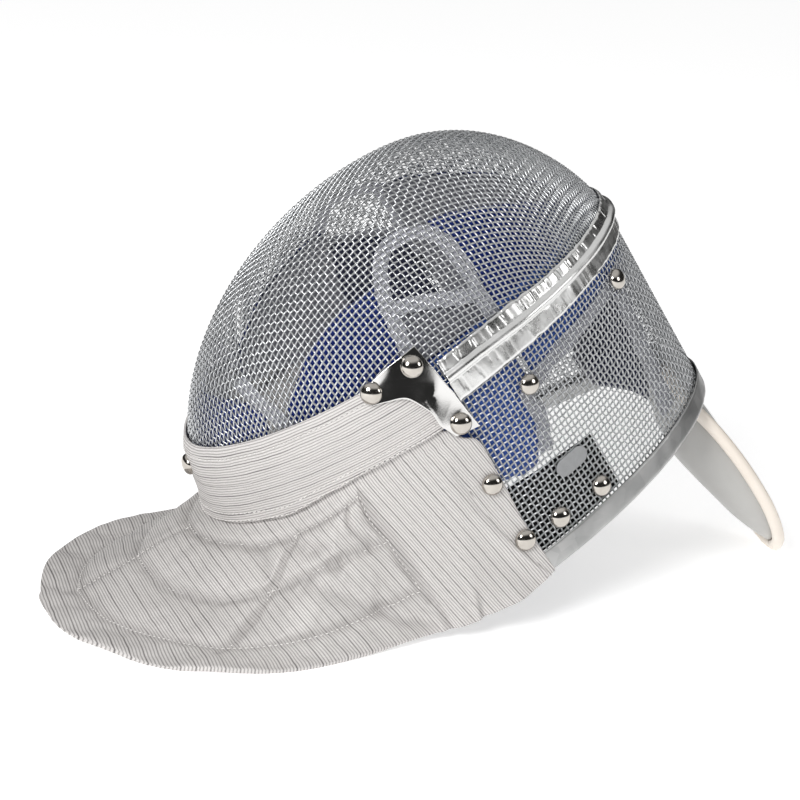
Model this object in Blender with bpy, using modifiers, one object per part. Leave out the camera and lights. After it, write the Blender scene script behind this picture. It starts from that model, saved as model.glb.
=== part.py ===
"""Fencing mask, lying on its bib and on the tip of its tongue with the face turned up.

The mask is worked out in the frame of its wearer, in millimetres: x to the wearer's left, f forward out
of the face and u up, with the middle of the seam's lower ends at the origin. settle() then tips it back
onto the surface it rests on: -Y is the bib's front, +X the wearer's left and +Z up.

Its skin is one surface, skin(t, f, lift). t goes round the mask as an angle, 0 at the left ear, 90 degrees
at the crown and -90 at the chin; f is the place along the depth, 0 in the seam between the stamped face
and the rolled wrap behind it; lift is the distance outside the wire.
"""
import bmesh
import bpy
import numpy as np
from mathutils import Vector

MM = 0.001

# The skin
SEAM_HALF_WIDTH = 83.0
SEAM_HEIGHT = 147.2
SEAM_PINCH = 9.0          # how much narrower than an ellipse the arch is near the crown
REAR_HALF_WIDTH = 89.0
REAR_HEIGHT = 146.0
REAR_PINCH = 7.7
REAR_DEPTH = 123.0
JAW_DEPTH = 116.6
JAW_PINCH = 7.2
NECK_SPREAD = 0.27        # the chin drops by this for each millimetre behind the seam
FACE_DEPTH = 94.7
FACE_MIDDLE = 47.2        # height of the most forward point of the face
FACE_ROUNDNESS = 2.24
FACE_FULLNESS = 1.535

# How it lies
TILT = 56.9               # degrees that the face looks up from the horizontal
REST_HEIGHT = 128.5       # of the origin above the surface it lies on
CENTRE_Y = 31.7           # from the mask's origin to the middle of its length

# Walls
WIRE_WALL = 2.0
CLOTH = 2.0
BAND_SHEET = 0.9
PLATE_SHEET = 1.2
PAD = 8.0
PAD_LIFT = -4.0
SEAM_GAP = 0.3

# Band over the seam and rim round the back
BAND = {"t": [5.8, 25.0, 35.0, 50.0, 90.0], "front_f": [13.0, 13.0, 10.5, 9.0, 8.0],
        "rear_f": [-11.5, -11.5, -12.0, -11.5, -9.5]}
BAND_LIFT = 1.7
RIDGE_HALF_WIDTH = 1.9
RIDGE_LIFT = 3.7
RIM_END_F = -120.7
RIM_WIDTH = 12.3
RIM_INSIDE = 10.0
WIRE_END_F = -119.0
RIM_LIFT = 1.5
RIM_SHEET = 0.8

# Lower edge of the wrap, in degrees, high behind the side plate and low under the bib's side
WRAP_EDGE = {"f": [-50.0, -38.0, 0.0], "t": [-1.0, 3.0, 3.0]}
FACE_EDGE_F = 6.0         # the face's lower edge, under the collar

# Side plate: front and top edge, then lower edge, from its front tip to its rear tip
PLATE_OUTER = {"t": [-14.6, -5.5, 2.9, 4.4, 5.5, 6.4], "f": [20.5, 24.5, 26.3, 11.7, -5.4, -27.5],
               "lift": [4.4, 3.2, 2.6, 3.4, 4.4, 4.4]}
PLATE_INNER = {"t": [-12.4, -8.8, -3.75, -0.6, -0.2, 1.2], "f": [12.5, 10.6, 6.5, -5.0, -15.0, -24.5],
               "lift": [4.4, 4.4, 4.4, 4.4, 4.4, 4.4]}
PLATE_STEPS = 12

# Bib collar: the upper edge, the lower edge and where its ends stop under the side plates
COLLAR_TOP_F = 20.2
COLLAR_BOTTOM = {"t": [-90.0, -60.0, -45.0, -34.0, -20.0, 0.0],
                 "f": [-20.0, -21.5, -23.5, -20.0, -17.5, -18.0]}
COLLAR_LIFT = 2.6
COLLAR_END = {"f": [-24.0, -12.0, 0.0, 7.0, 12.0, 21.0], "t": [1.0, 1.0, 0.6, -1.5, -6.0, -9.5]}

# Bib skirt: a row for each section from the chin to the rear corner. The upper edge and the fold below it
# are given on the skin, the hem on the surface that the mask rests on.
SKIRT = {
    "top_t": [-90.0, -70.0, -53.0, -41.0, -30.0, -26.0, -23.0, -9.0, 0.4, 2.4, 4.8, 4.6, 3.8, 4.0],
    "top_f": [-8.0, -8.0, -8.0, -8.0, -8.0, -8.0, -8.0, -8.0, -21.0, -28.5, -36.0, -60.0, -90.0, -120.0],
    "neck_t": [-90.0, -70.0, -53.0, -41.0, -30.0, -26.0, -23.0, -10.0, -4.0, -3.2, -2.5, -2.5, -1.0, 2.8],
    "neck_f": [-21.5, -22.0, -24.5, -24.5, -22.0, -21.0, -20.5,
               -21.0, -26.0, -32.0, -38.0, -61.0, -91.0, -120.2],
    "lift": [0.0, 0.0, 0.0, 0.0, 0.0, 0.0, 0.0, 0.0, 0.4, 2.5, 2.8, 2.8, 3.6, 5.2],
    "left_x": [0.0, 50.0, 90.0, 110.5, 119.0, 110.0, 96.0, 96.5, 96.5, 96.25, 96.0, 95.5, 94.0, 93.5],
    "left_y": [-185.0, -177.5, -151.5, -122.0, -78.0, -36.0, 4.0,
               20.0, 30.0, 34.0, 38.0, 52.0, 63.0, 71.0],
    "right_x": [0.0, 45.0, 81.0, 102.0, 118.5, 108.0, 96.0, 96.5, 96.5, 96.25, 96.0, 95.5, 94.0, 93.5],
    "right_y": [-185.0, -172.0, -150.0, -120.0, -78.0, -36.0, 4.0,
                20.0, 30.0, 34.0, 38.0, 52.0, 63.0, 71.0],
    "hem_z": [3.0, 3.0, 3.0, 3.0, 3.0, 3.0, 4.0, 6.5, 9.5, 11.0, 12.5, 18.0, 24.0, 30.0],
    "flat": [0.84, 0.85, 0.88, 0.95, 1.0, 1.0, 1.0, 1.0, 1.0, 1.0, 1.0, 1.0, 1.0, 1.0],
    "sag": [1.2, 1.9, 2.5, 2.5, 2.0, 1.5, 1.0, 1.0, 1.0, 1.0, 1.0, 1.0, 1.0, 1.0],
    "seam_1": [0.12, 0.1, 0.08, 0.07, 0.07, 0.07, 0.07, 0.08, 0.08, 0.08, 0.08, 0.08, 0.08, 0.08],
    "seam_2": [0.42, 0.4, 0.36, 0.29, 0.28, 0.31, 0.4, 0.42, 0.42, 0.42, 0.42, 0.42, 0.42, 0.42],
    "seam_3": [0.78, 0.75, 0.7, 0.69, 0.68, 0.69, 0.74, 0.75, 0.75, 0.75, 0.75, 0.75, 0.75, 0.75],
    "padding": [1.0, 1.0, 1.0, 1.0, 1.0, 0.8, 0.0, 0.0, 0.0, 0.0, 0.0, 0.0, 0.0, 0.0],
}
SKIRT_COLUMNS = 52
SKIRT_STEPS = [-2.0, -1.0, 0.0, 1.0, 1.25, 1.5, 1.8, 2.0, 2.25, 2.6, 3.0, 3.5, 4.0]
SKIRT_SEAMS = ["seam_1", "seam_2", "seam_3"]   # stitched rings, parts of the way from collar to hem
SKIRT_RADIAL_SEAMS = [0.0, 2.95, 6.0]          # stitched rays, as places in the table of sections
PADDED_CLOTH = 5.0
BORDER_CLOTH = 3.0
PILLOW = 2.6

# Tongue: a row for each section from inside the crown to the tip
TONGUE = {
    "f":          [-92.0, -108.0, -123.0, -138.0, -155.0, -174.0, -195.0, -211.0, -223.5, -231.0, -234.4],
    "half_width": [18.0, 18.0, 19.0, 22.5, 24.0, 25.0, 26.0, 23.5, 17.0, 9.0, 3.0],
    "top_u":      [137.0, 138.5, 140.0, 141.5, 142.5, 143.0, 143.0, 142.0, 140.6, 139.4, 139.0],
    "arch":       [8.0, 7.8, 7.5, 5.5, 3.6, 2.2, 1.6, 1.2, 0.6, 0.2, 0.0],
    "depth":      [14.0, 19.0, 23.0, 27.0, 29.0, 26.0, 21.0, 16.0, 10.0, 5.5, 4.0],
}
TONGUE_EDGE = 4.0
CROWN_WEDGE = {                       # cushion under the crown, in front of the tongue
    "f": [-32.0, -44.0, -58.0, -71.0, -85.0, -98.0, -106.0],
    "top_u": [130.0, 131.0, 131.0, 130.5, 128.0, 119.0, 116.5],
    "depth": [6.0, 20.0, 31.0, 39.0, 36.0, 12.5, 4.0],
}
CROWN_WEDGE_HALF = 18.0
PIPING_RADIUS = 3.6
PIPING_GAP = 0.5

# Lining pads: front and rear edge of each at angles round the skin
FOREHEAD = {"t": [23.5, 31.0, 40.0, 51.0, 63.0, 75.0, 90.0],
            "front_f": [69.0, 66.0, 58.0, 46.0, 30.0, 16.0, 10.0],
            "rear_f": [-28.0, -28.0, -28.0, -28.0, -28.0, -28.0, -28.0]}
SIDE_PAD = {"t": [-38.0, -28.0, -16.0, -4.0, 1.0, 4.0, 10.0, 14.0, 18.0, 20.5, 22.0],
            "front_f": [30.0, 50.0, 58.0, 60.0, 59.0, 47.0, 42.0, 38.0, 33.0, 30.0, 29.0],
            "rear_f": [8.0, 2.0, -8.0, -36.0, -58.0, -64.0, -70.0, -70.0, -56.0, -32.0, -28.0]}
CHIN_PAD = {"t": [-90.0, -75.0, -60.0, -46.0], "front_f": [42.0, 42.0, 40.0, 32.0],
            "rear_f": [-4.0, -4.0, -2.0, 6.0]}
CROWN_STRAP = {"f": [-104.0, -32.0], "t": [53.0, 60.5], "half_width": 5.0}
PATCH = {"t": [3.5, 10.0, 20.0, 27.5], "front_f": [-69.0, -71.0, -74.0, -76.0],
         "rear_f": [-110.3, -110.3, -110.0, -109.5]}
WEBBING = 1.6

# Rivets: angle round the skin, place along the depth and what they stand on
RIVET_RADIUS = 5.8
RIVET_HEIGHT = 3.3
RIVETS = {
    "name": ["plate_front", "plate_top", "plate_rear", "bib_middle", "bib_rear",
             "patch_low", "patch_high", "lining_low", "lining_high"],
    "t":    [-11.3, 0.5, 3.3, 2.3, 2.0, 11.0, 22.5, 20.2, 58.0],
    "f":    [18.0, 18.9, -20.1, -58.5, -94.7, -98.7, -100.5, -28.5, -23.5],
    "lift": [4.9, 4.4, 4.9, 3.4, 4.7, 0.5, 0.5, 0.5, 0.5],
}
CHIN_RIVET_T, CHIN_RIVET_F, CHIN_RIVET_LIFT = -90.0, 6.0, 3.2
TAG_T, TAG_F, TAG_LENGTH, TAG_WIDTH, TAG_SHEET = 19.5, -77.8, 19.0, 10.0, 1.0


def clear_scene():
    for item in list(bpy.data.objects):
        bpy.data.objects.remove(item, do_unlink=True)


def material(name, colour, roughness, metallic=0.0):
    made = bpy.data.materials.new(name)
    made.use_nodes = True
    shader = made.node_tree.nodes["Principled BSDF"]
    shader.inputs["Base Color"].default_value = (*colour, 1.0)
    shader.inputs["Roughness"].default_value = roughness
    shader.inputs["Metallic"].default_value = metallic
    return made


def wearer_skin(t_degrees, f):
    """The wire's outer surface in the wearer's frame, an array of x, f and u."""
    t = np.radians(t_degrees)
    round_x, round_u = np.cos(t), np.sin(t)
    back = np.clip(-f / REAR_DEPTH, 0.0, None)
    forward = np.clip(f / FACE_DEPTH, 0.0, 1.0)
    swing = np.arccos(forward ** (FACE_FULLNESS / 2.0))
    shrink = np.sin(swing) ** (2.0 / FACE_ROUNDNESS)
    width = SEAM_HALF_WIDTH + (REAR_HALF_WIDTH - SEAM_HALF_WIDTH) * back
    above = round_u > 0.0
    pinch = np.where(above, SEAM_PINCH + (REAR_PINCH - SEAM_PINCH) * back, JAW_PINCH)
    crown = SEAM_HEIGHT + (REAR_HEIGHT - SEAM_HEIGHT) * back
    jaw = JAW_DEPTH + NECK_SPREAD * np.clip(-f, 0.0, None)
    reach = np.where(above, crown, jaw)
    x = round_x * (width * shrink - pinch * shrink ** 2 * np.abs(round_u))
    u = reach * shrink * round_u + FACE_MIDDLE * (1.0 - shrink)
    return np.stack([x, f + 0.0 * x, u], -1)


def skin_normal(t, f):
    """Unit vectors out of the skin, from how it runs round the mask and along its depth."""
    step_t, step_f = 0.05, 0.05
    around = wearer_skin(t + step_t, f) - wearer_skin(t - step_t, f)
    along = wearer_skin(t, f + step_f) - wearer_skin(t, f - step_f)
    normal = np.cross(along, around)
    return normal / np.linalg.norm(normal, axis=-1, keepdims=True)


def skin(t, f, lift=0.0):
    t, f, lift = np.broadcast_arrays(np.asarray(t, float), np.asarray(f, float), np.asarray(lift, float))
    return wearer_skin(t, f) + skin_normal(t, f) * lift[..., None]


def turn_to_rest(vectors):
    """Directions of the wearer's frame x, f, u as directions X, Y, Z of the mask lying down."""
    tilt = np.radians(TILT)
    x, f, u = vectors[..., 0], vectors[..., 1], vectors[..., 2]
    return np.stack([x, u * np.sin(tilt) - f * np.cos(tilt), f * np.sin(tilt) + u * np.cos(tilt)], -1)


def settle(points):
    return turn_to_rest(points) + np.array([0.0, 0.0, REST_HEIGHT])


def read_table(table, column, place, key=None):
    """A column of a table at a place between its rows, by straight lines or along another column."""
    rows = np.arange(len(table[column])) if key is None else np.asarray(table[key], float)
    order = np.argsort(rows)
    return np.interp(place, rows[order], np.asarray(table[column], float)[order])


def smooth_table(table, column, place):
    """A column of a table at a place between its rows, along a smooth curve through them."""
    values = np.asarray(table[column], float)
    slopes = np.gradient(values)
    row = np.clip(np.floor(place).astype(int), 0, len(values) - 2)
    s = place - row
    start, end = values[row], values[row + 1]
    return (start * (1 + 2 * s) * (1 - s) ** 2 + slopes[row] * s * (1 - s) ** 2
            + end * s ** 2 * (3 - 2 * s) + slopes[row + 1] * s ** 2 * (s - 1))


def link(item, collection, origin):
    collection.objects.link(item)
    item.parent = origin
    return item


def sheet(name, columns, rows, place, thickness, finish, group, weights=None):
    """A grid laid on place(a, b), for a and b from 0 to 1, and thickened inwards by Solidify."""
    collection, origin = group
    grid = bmesh.new()
    bmesh.ops.create_grid(grid, x_segments=columns, y_segments=rows, size=1.0)
    grid.verts.ensure_lookup_table()
    flat = (np.array([vertex.co[:2] for vertex in grid.verts]) + 1.0) / 2.0
    placed = place(flat[:, 0], flat[:, 1])
    for vertex, point in zip(grid.verts, placed):
        vertex.co = Vector(point * MM)
    mesh = bpy.data.meshes.new(name)
    grid.to_mesh(mesh)
    grid.free()
    mesh.materials.append(finish)
    mesh.shade_smooth()
    item = link(bpy.data.objects.new(name, mesh), collection, origin)
    wall = item.modifiers.new("wall", "SOLIDIFY")
    wall.thickness = thickness * MM
    wall.offset = -1.0
    wall.use_even_offset = True
    if weights is not None:
        shares = weights(flat[:, 0], flat[:, 1])
        thick = item.vertex_groups.new(name="thickness")
        for index, share in enumerate(shares):
            thick.add([index], float(share), "REPLACE")
        wall.vertex_group = thick.name
    return item


def face_edge(t):
    """How far forward the stamped face ends: at the seam above the ears, under the collar below."""
    ease = np.clip((4.0 - t) / 8.0, 0.0, 1.0)
    ease = ease * ease * (3.0 - 2.0 * ease)
    return SEAM_GAP + (FACE_EDGE_F - SEAM_GAP) * ease


def front_mesh(group, finish):
    """A square of wire drawn over the face: its grid is bent to a disc, so it has no pole."""
    def place(a, b):
        across, up = 2.0 * a - 1.0, 2.0 * b - 1.0
        disc_x = across * np.sqrt(1.0 - up ** 2 / 2.0)
        disc_u = up * np.sqrt(1.0 - across ** 2 / 2.0)
        t = np.degrees(np.arctan2(disc_u, disc_x))
        ear_t = np.where(t < -90.0, -180.0 - t, np.where(t > 90.0, 180.0 - t, t))
        edge = np.arccos((face_edge(ear_t) / FACE_DEPTH) ** (FACE_FULLNESS / 2.0))
        swing = np.hypot(disc_x, disc_u) * edge
        f = FACE_DEPTH * np.cos(swing) ** (2.0 / FACE_FULLNESS)
        return settle(wearer_skin(t, f))
    return sheet("front_mesh", 20, 20, place, WIRE_WALL, finish, group)


def rear_mesh(group, finish):
    """The rolled wrap, over the crown from one ear to the other."""
    def place(a, b):
        f = WIRE_END_F - (WIRE_END_F + SEAM_GAP) * b
        low = np.interp(f, WRAP_EDGE["f"], WRAP_EDGE["t"])
        t = low + (180.0 - 2.0 * low) * a
        return settle(wearer_skin(t, f))
    return sheet("rear_mesh", 24, 6, place, WIRE_WALL, finish, group)


def seam_band(group, finish):
    """Sheet-metal strip along the seam: two flanges with a round ridge between them."""
    across = np.array([-2.0, -1.0, -0.5, 0.5, 1.0, 2.0])   # 1 is the ridge's side and 2 the flange's edge
    lifts = np.array([BAND_LIFT, BAND_LIFT, RIDGE_LIFT, RIDGE_LIFT, BAND_LIFT, BAND_LIFT])
    steps = np.arange(len(across)) / (len(across) - 1)

    def place(a, b):
        t = BAND["t"][0] + (180.0 - 2.0 * BAND["t"][0]) * a
        key = 90.0 - np.abs(t - 90.0)
        way = np.interp(b, steps, across)
        edge = np.where(way > 0.0, np.interp(key, BAND["t"], BAND["front_f"]),
                        np.interp(key, BAND["t"], BAND["rear_f"]))
        beyond = np.clip(np.abs(way) - 1.0, 0.0, 1.0)
        f = RIDGE_HALF_WIDTH * np.clip(way, -1.0, 1.0) * (1.0 - beyond) + edge * beyond
        return settle(skin(t, f, np.interp(b, steps, lifts)))
    return sheet("seam_band", 26, len(across) - 1, place, BAND_SHEET, finish, group)


def rear_rim(group, finish):
    """U-shaped strip folded over the wrap's back edge."""
    end = RIM_END_F
    inside = -WIRE_WALL - RIM_LIFT
    across = np.array([end + RIM_INSIDE, end + 0.7, end, end, end + 0.7, end + RIM_WIDTH])
    lifts = np.array([inside, inside, inside + 0.7, RIM_LIFT - 0.7, RIM_LIFT, RIM_LIFT])
    steps = np.arange(len(across)) / (len(across) - 1)

    def place(a, b):
        t = WRAP_EDGE["t"][0] + (180.0 - 2.0 * WRAP_EDGE["t"][0]) * a
        return settle(skin(t, np.interp(b, steps, across), np.interp(b, steps, lifts)))
    return sheet("rear_rim", 26, len(across) - 1, place, RIM_SHEET, finish, group)


def on_side(place_left, left):
    """Mirrors a place function to the wearer's right, with a turned round so faces still look out."""
    if left:
        return place_left
    return lambda a, b: place_left(1.0 - a, b) * np.array([-1.0, 1.0, 1.0])


def side_plate(side, left, group, finish):
    """Bent plate over the corner where face, wrap and bib meet."""
    def place(a, b):
        row = a * (len(PLATE_OUTER["t"]) - 1)
        outer = [read_table(PLATE_OUTER, column, row) for column in ("t", "f", "lift")]
        inner = [read_table(PLATE_INNER, column, row) for column in ("t", "f", "lift")]
        t, f, lift = [low + (high - low) * b for low, high in zip(inner, outer)]
        return settle(skin(t, f, lift))
    return sheet("side_plate_" + side, PLATE_STEPS, 3, on_side(place, left), PLATE_SHEET, finish, group)


def bib_collar(group, finish):
    """Cloth band round the jaw, from plate to plate."""
    def place(a, b):
        level = -20.0 + (COLLAR_TOP_F + 20.0) * b
        end = np.interp(level, COLLAR_END["f"], COLLAR_END["t"])
        t = -180.0 - end + (180.0 + 2.0 * end) * a
        bottom = np.interp(np.abs(t + 90.0) - 90.0, COLLAR_BOTTOM["t"], COLLAR_BOTTOM["f"])
        return settle(skin(t, bottom + (COLLAR_TOP_F - bottom) * b, COLLAR_LIFT))
    return sheet("bib_collar", 30, 4, place, CLOTH, finish, group)


def pillow(row, step):
    """How far the padding swells between its stitched rings and rays, 0 on the stitches and 1 between."""
    ring = np.abs(np.sin(np.pi * np.clip(step, 1.0, 3.0)))
    ray = np.zeros_like(step)
    for start, end in zip(SKIRT_RADIAL_SEAMS[:-1], SKIRT_RADIAL_SEAMS[1:]):
        ray += np.sin(np.pi * np.clip((row - start) / (end - start), 0.0, 1.0))
    return np.clip(ring, 0.0, 1.0) ** 0.6 * np.clip(ray, 0.0, 1.0) ** 0.4


def skirt_section(row, step, left):
    """The skirt's outer face: step is -2 at its hidden upper edge, 0 at the neck, 1 to 3 on the stitched
    rings and 4 at the hem.
    """
    top = settle(skin(*[smooth_table(SKIRT, column, row) for column in ("top_t", "top_f", "lift")]))
    neck = settle(skin(*[smooth_table(SKIRT, column, row) for column in ("neck_t", "neck_f", "lift")]))
    left_hem = [smooth_table(SKIRT, column, row) for column in ("left_x", "left_y", "hem_z")]
    right_hem = [smooth_table(SKIRT, column, row) for column in ("right_x", "right_y", "hem_z")]
    hem = np.where(left[..., None], np.stack(left_hem, -1), np.stack(right_hem, -1))
    rings = [0.0 * row] + [read_table(SKIRT, column, row) for column in SKIRT_SEAMS] + [0.0 * row + 1.0]
    way = sum(ring * np.clip(1.0 - np.abs(step - index), 0.0, 1.0) for index, ring in enumerate(rings))
    flat = read_table(SKIRT, "flat", row)
    fall = np.clip(1.0 - way / flat, 0.0, 1.0) ** read_table(SKIRT, "sag", row)
    below = neck + (hem - neck) * way[..., None]
    below[..., 2] = hem[..., 2] + (neck[..., 2] - hem[..., 2]) * fall
    swell = PILLOW * pillow(row, step) * read_table(SKIRT, "padding", row)
    outward = np.stack([hem[..., 0] / 200.0, 0.0 * row - 0.35, 0.0 * row + 0.8], -1)
    below = below + outward * swell[..., None]
    hidden = np.clip(-step, 0.0, 2.0)[..., None] / 2.0
    return np.where(step[..., None] < 0.0, neck + (top - neck) * hidden, below)


def bib_skirt(group, finish):
    """Quilted bib: a flared cloth ring, padded in front, whose sides hang from the wrap."""
    last = len(SKIRT["top_t"]) - 1

    def split(a, b):
        side = 1.0 - 2.0 * a
        step = np.interp(b, np.arange(len(SKIRT_STEPS)) / (len(SKIRT_STEPS) - 1), SKIRT_STEPS)
        return side, np.abs(side) * last, step

    def place(a, b):
        side, row, step = split(a, b)
        points = skirt_section(row, step, side > 0.0)
        points[:, 0] *= np.where(side < 0.0, -1.0, 1.0)
        return points

    def weights(a, b):
        side, row, step = split(a, b)
        padding = read_table(SKIRT, "padding", row)
        inside = np.where((step > 0.5) & (step < 3.0), PADDED_CLOTH, BORDER_CLOTH)
        thick = CLOTH + (inside - CLOTH) * padding
        return np.where(step < 0.0, CLOTH, thick) / PADDED_CLOTH
    return sheet("bib_skirt", SKIRT_COLUMNS, len(SKIRT_STEPS) - 1, place, PADDED_CLOTH, finish, group,
                 weights)


def tongue_pad(group, finish):
    """Spring tongue's cover: a flat back with a wedge of padding on the side of the head."""
    last = len(TONGUE["f"]) - 1

    def place(a, b):
        row, across = b * last, 2.0 * a - 1.0
        half = smooth_table(TONGUE, "half_width", row)
        top = smooth_table(TONGUE, "top_u", row) - smooth_table(TONGUE, "arch", row) * across ** 2
        return settle(np.stack([half * across, smooth_table(TONGUE, "f", row), top], -1))

    def weights(a, b):
        across = np.abs(1.0 - 2.0 * a)
        depth = smooth_table(TONGUE, "depth", b * last)
        bulge = np.clip(1.0 - across ** 2.6, 0.0, 1.0) ** 0.6
        deepest = max(TONGUE["depth"])
        return (TONGUE_EDGE + (depth - TONGUE_EDGE) * bulge) / deepest
    return sheet("tongue_pad", 8, 20, place, max(TONGUE["depth"]), finish, group, weights)


def lining_crown(group, finish):
    """Wedge of padding that hangs under the crown against the back of the head."""
    last = len(CROWN_WEDGE["f"]) - 1

    def place(a, b):
        row, across = b * last, 2.0 * a - 1.0
        top = read_table(CROWN_WEDGE, "top_u", row) - 3.0 * across ** 4
        return settle(np.stack([CROWN_WEDGE_HALF * across, read_table(CROWN_WEDGE, "f", row), top], -1))

    def weights(a, b):
        bulge = 0.55 + 0.45 * np.clip(1.0 - np.abs(1.0 - 2.0 * a) ** 4, 0.0, 1.0)
        return read_table(CROWN_WEDGE, "depth", b * last) * bulge / max(CROWN_WEDGE["depth"])
    return sheet("lining_crown", 4, last, place, max(CROWN_WEDGE["depth"]), finish, group, weights)


def tongue_piping(group, finish):
    """Round piping along the tongue's edge, in one loop round the tip."""
    collection, origin = group
    last = len(TONGUE["f"]) - 1
    rows = np.linspace(0.0, last, 21)
    half = smooth_table(TONGUE, "half_width", rows)
    level = smooth_table(TONGUE, "top_u", rows) - smooth_table(TONGUE, "arch", rows) - TONGUE_EDGE / 2.0
    edge = np.stack([half, smooth_table(TONGUE, "f", rows), level], -1)
    ahead = np.gradient(edge[:, :2], axis=0)
    ahead /= np.linalg.norm(ahead, axis=1, keepdims=True)
    outward = np.stack([-ahead[:, 1], ahead[:, 0]], -1)
    edge[:, :2] += outward * (PIPING_RADIUS + PIPING_GAP)
    tip = np.array([[0.0, edge[-1, 1] - 0.4, edge[-1, 2]]])
    loop = settle(np.concatenate([edge, tip, edge[::-1] * np.array([-1.0, 1.0, 1.0])]))
    path = bpy.data.curves.new("tongue_piping", "CURVE")
    path.dimensions = "3D"
    path.bevel_depth = PIPING_RADIUS * MM
    path.bevel_resolution = 2
    path.use_fill_caps = True
    spline = path.splines.new("POLY")
    spline.points.add(len(loop) - 1)
    for point, place in zip(spline.points, loop):
        point.co = (*(place * MM), 1.0)
    path.materials.append(finish)
    return link(bpy.data.objects.new("tongue_piping", path), collection, origin)


def pad_between(name, table, columns, rows, thickness, lift, group, finish, left=True, whole=False):
    """A pad inside the wire, between a front and a rear edge told by its table. A whole one is mirrored
    about the crown or the chin.
    """
    def place(a, b):
        first, last = table["t"][0], table["t"][-1]
        if not whole:
            t = key = first + (last - first) * a
        elif last > 0.0:
            t = first + 2.0 * (last - first) * a
            key = last - np.abs(t - last)
        else:
            t = 2.0 * first - last + 2.0 * (last - first) * a
            key = first + np.abs(t - first)
        front = np.interp(key, table["t"], table["front_f"])
        rear = np.interp(key, table["t"], table["rear_f"])
        f = rear + (front - rear) * b
        return settle(skin(t, f, lift))
    return sheet(name, columns, rows, on_side(place, left), thickness, finish, group)


def crown_strap(side, left, group, finish):
    def place(a, b):
        rear, front = CROWN_STRAP["f"]
        f = rear + (front - rear) * b
        half = np.degrees(CROWN_STRAP["half_width"] / SEAM_HALF_WIDTH)
        t = np.interp(f, CROWN_STRAP["f"], CROWN_STRAP["t"]) + half * (2.0 * a - 1.0)
        return settle(skin(t, f, PAD_LIFT))
    return sheet("crown_strap_" + side, 2, 6, on_side(place, left), WEBBING, finish, group)


def size_tag(group, finish):
    """Small bare oval on the outside of the wrap."""
    def place(a, b):
        across, up = 2.0 * a - 1.0, 2.0 * b - 1.0
        along = across * np.sqrt(1.0 - up ** 2 / 2.0) * TAG_LENGTH / 2.0
        aside = up * np.sqrt(1.0 - across ** 2 / 2.0) * TAG_WIDTH / 2.0
        t = TAG_T + np.degrees(along / REAR_HEIGHT) * 1.2
        return settle(skin(t, TAG_F + aside, TAG_SHEET + 0.6))
    return sheet("size_tag", 6, 4, place, TAG_SHEET, finish, group)


def rivet(name, t, f, lift, left, profile, finish, group):
    """Domed head turned from its profile, standing on the skin along its normal."""
    collection, origin = group
    item = link(bpy.data.objects.new(name, profile), collection, origin)
    point = settle(skin(t, f, lift))
    normal = turn_to_rest(skin_normal(np.float64(t), np.float64(f)))
    flip = np.array([1.0 if left else -1.0, 1.0, 1.0])
    item.location = Vector(point * flip * MM)
    item.rotation_mode = "QUATERNION"
    item.rotation_quaternion = Vector(normal * flip).to_track_quat("Z", "Y")
    turn = item.modifiers.new("turn", "SCREW")
    turn.steps = 9
    turn.render_steps = 9
    turn.use_merge_vertices = True
    turn.merge_threshold = 0.00005
    return item


def rivet_profile(finish):
    """Half outline of a domed head, from its top down its side to the middle of its base."""
    outline = [(0.0, 1.0), (0.52, 0.86), (0.86, 0.5), (1.0, 0.08), (1.0, 0.0), (0.0, 0.0)]
    points = [(r * RIVET_RADIUS * MM, 0.0, h * RIVET_HEIGHT * MM) for r, h in outline]
    mesh = bpy.data.meshes.new("rivet_profile")
    mesh.from_pydata(points, [(i, i + 1) for i in range(len(points) - 1)], [])
    mesh.materials.append(finish)
    return mesh


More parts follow.
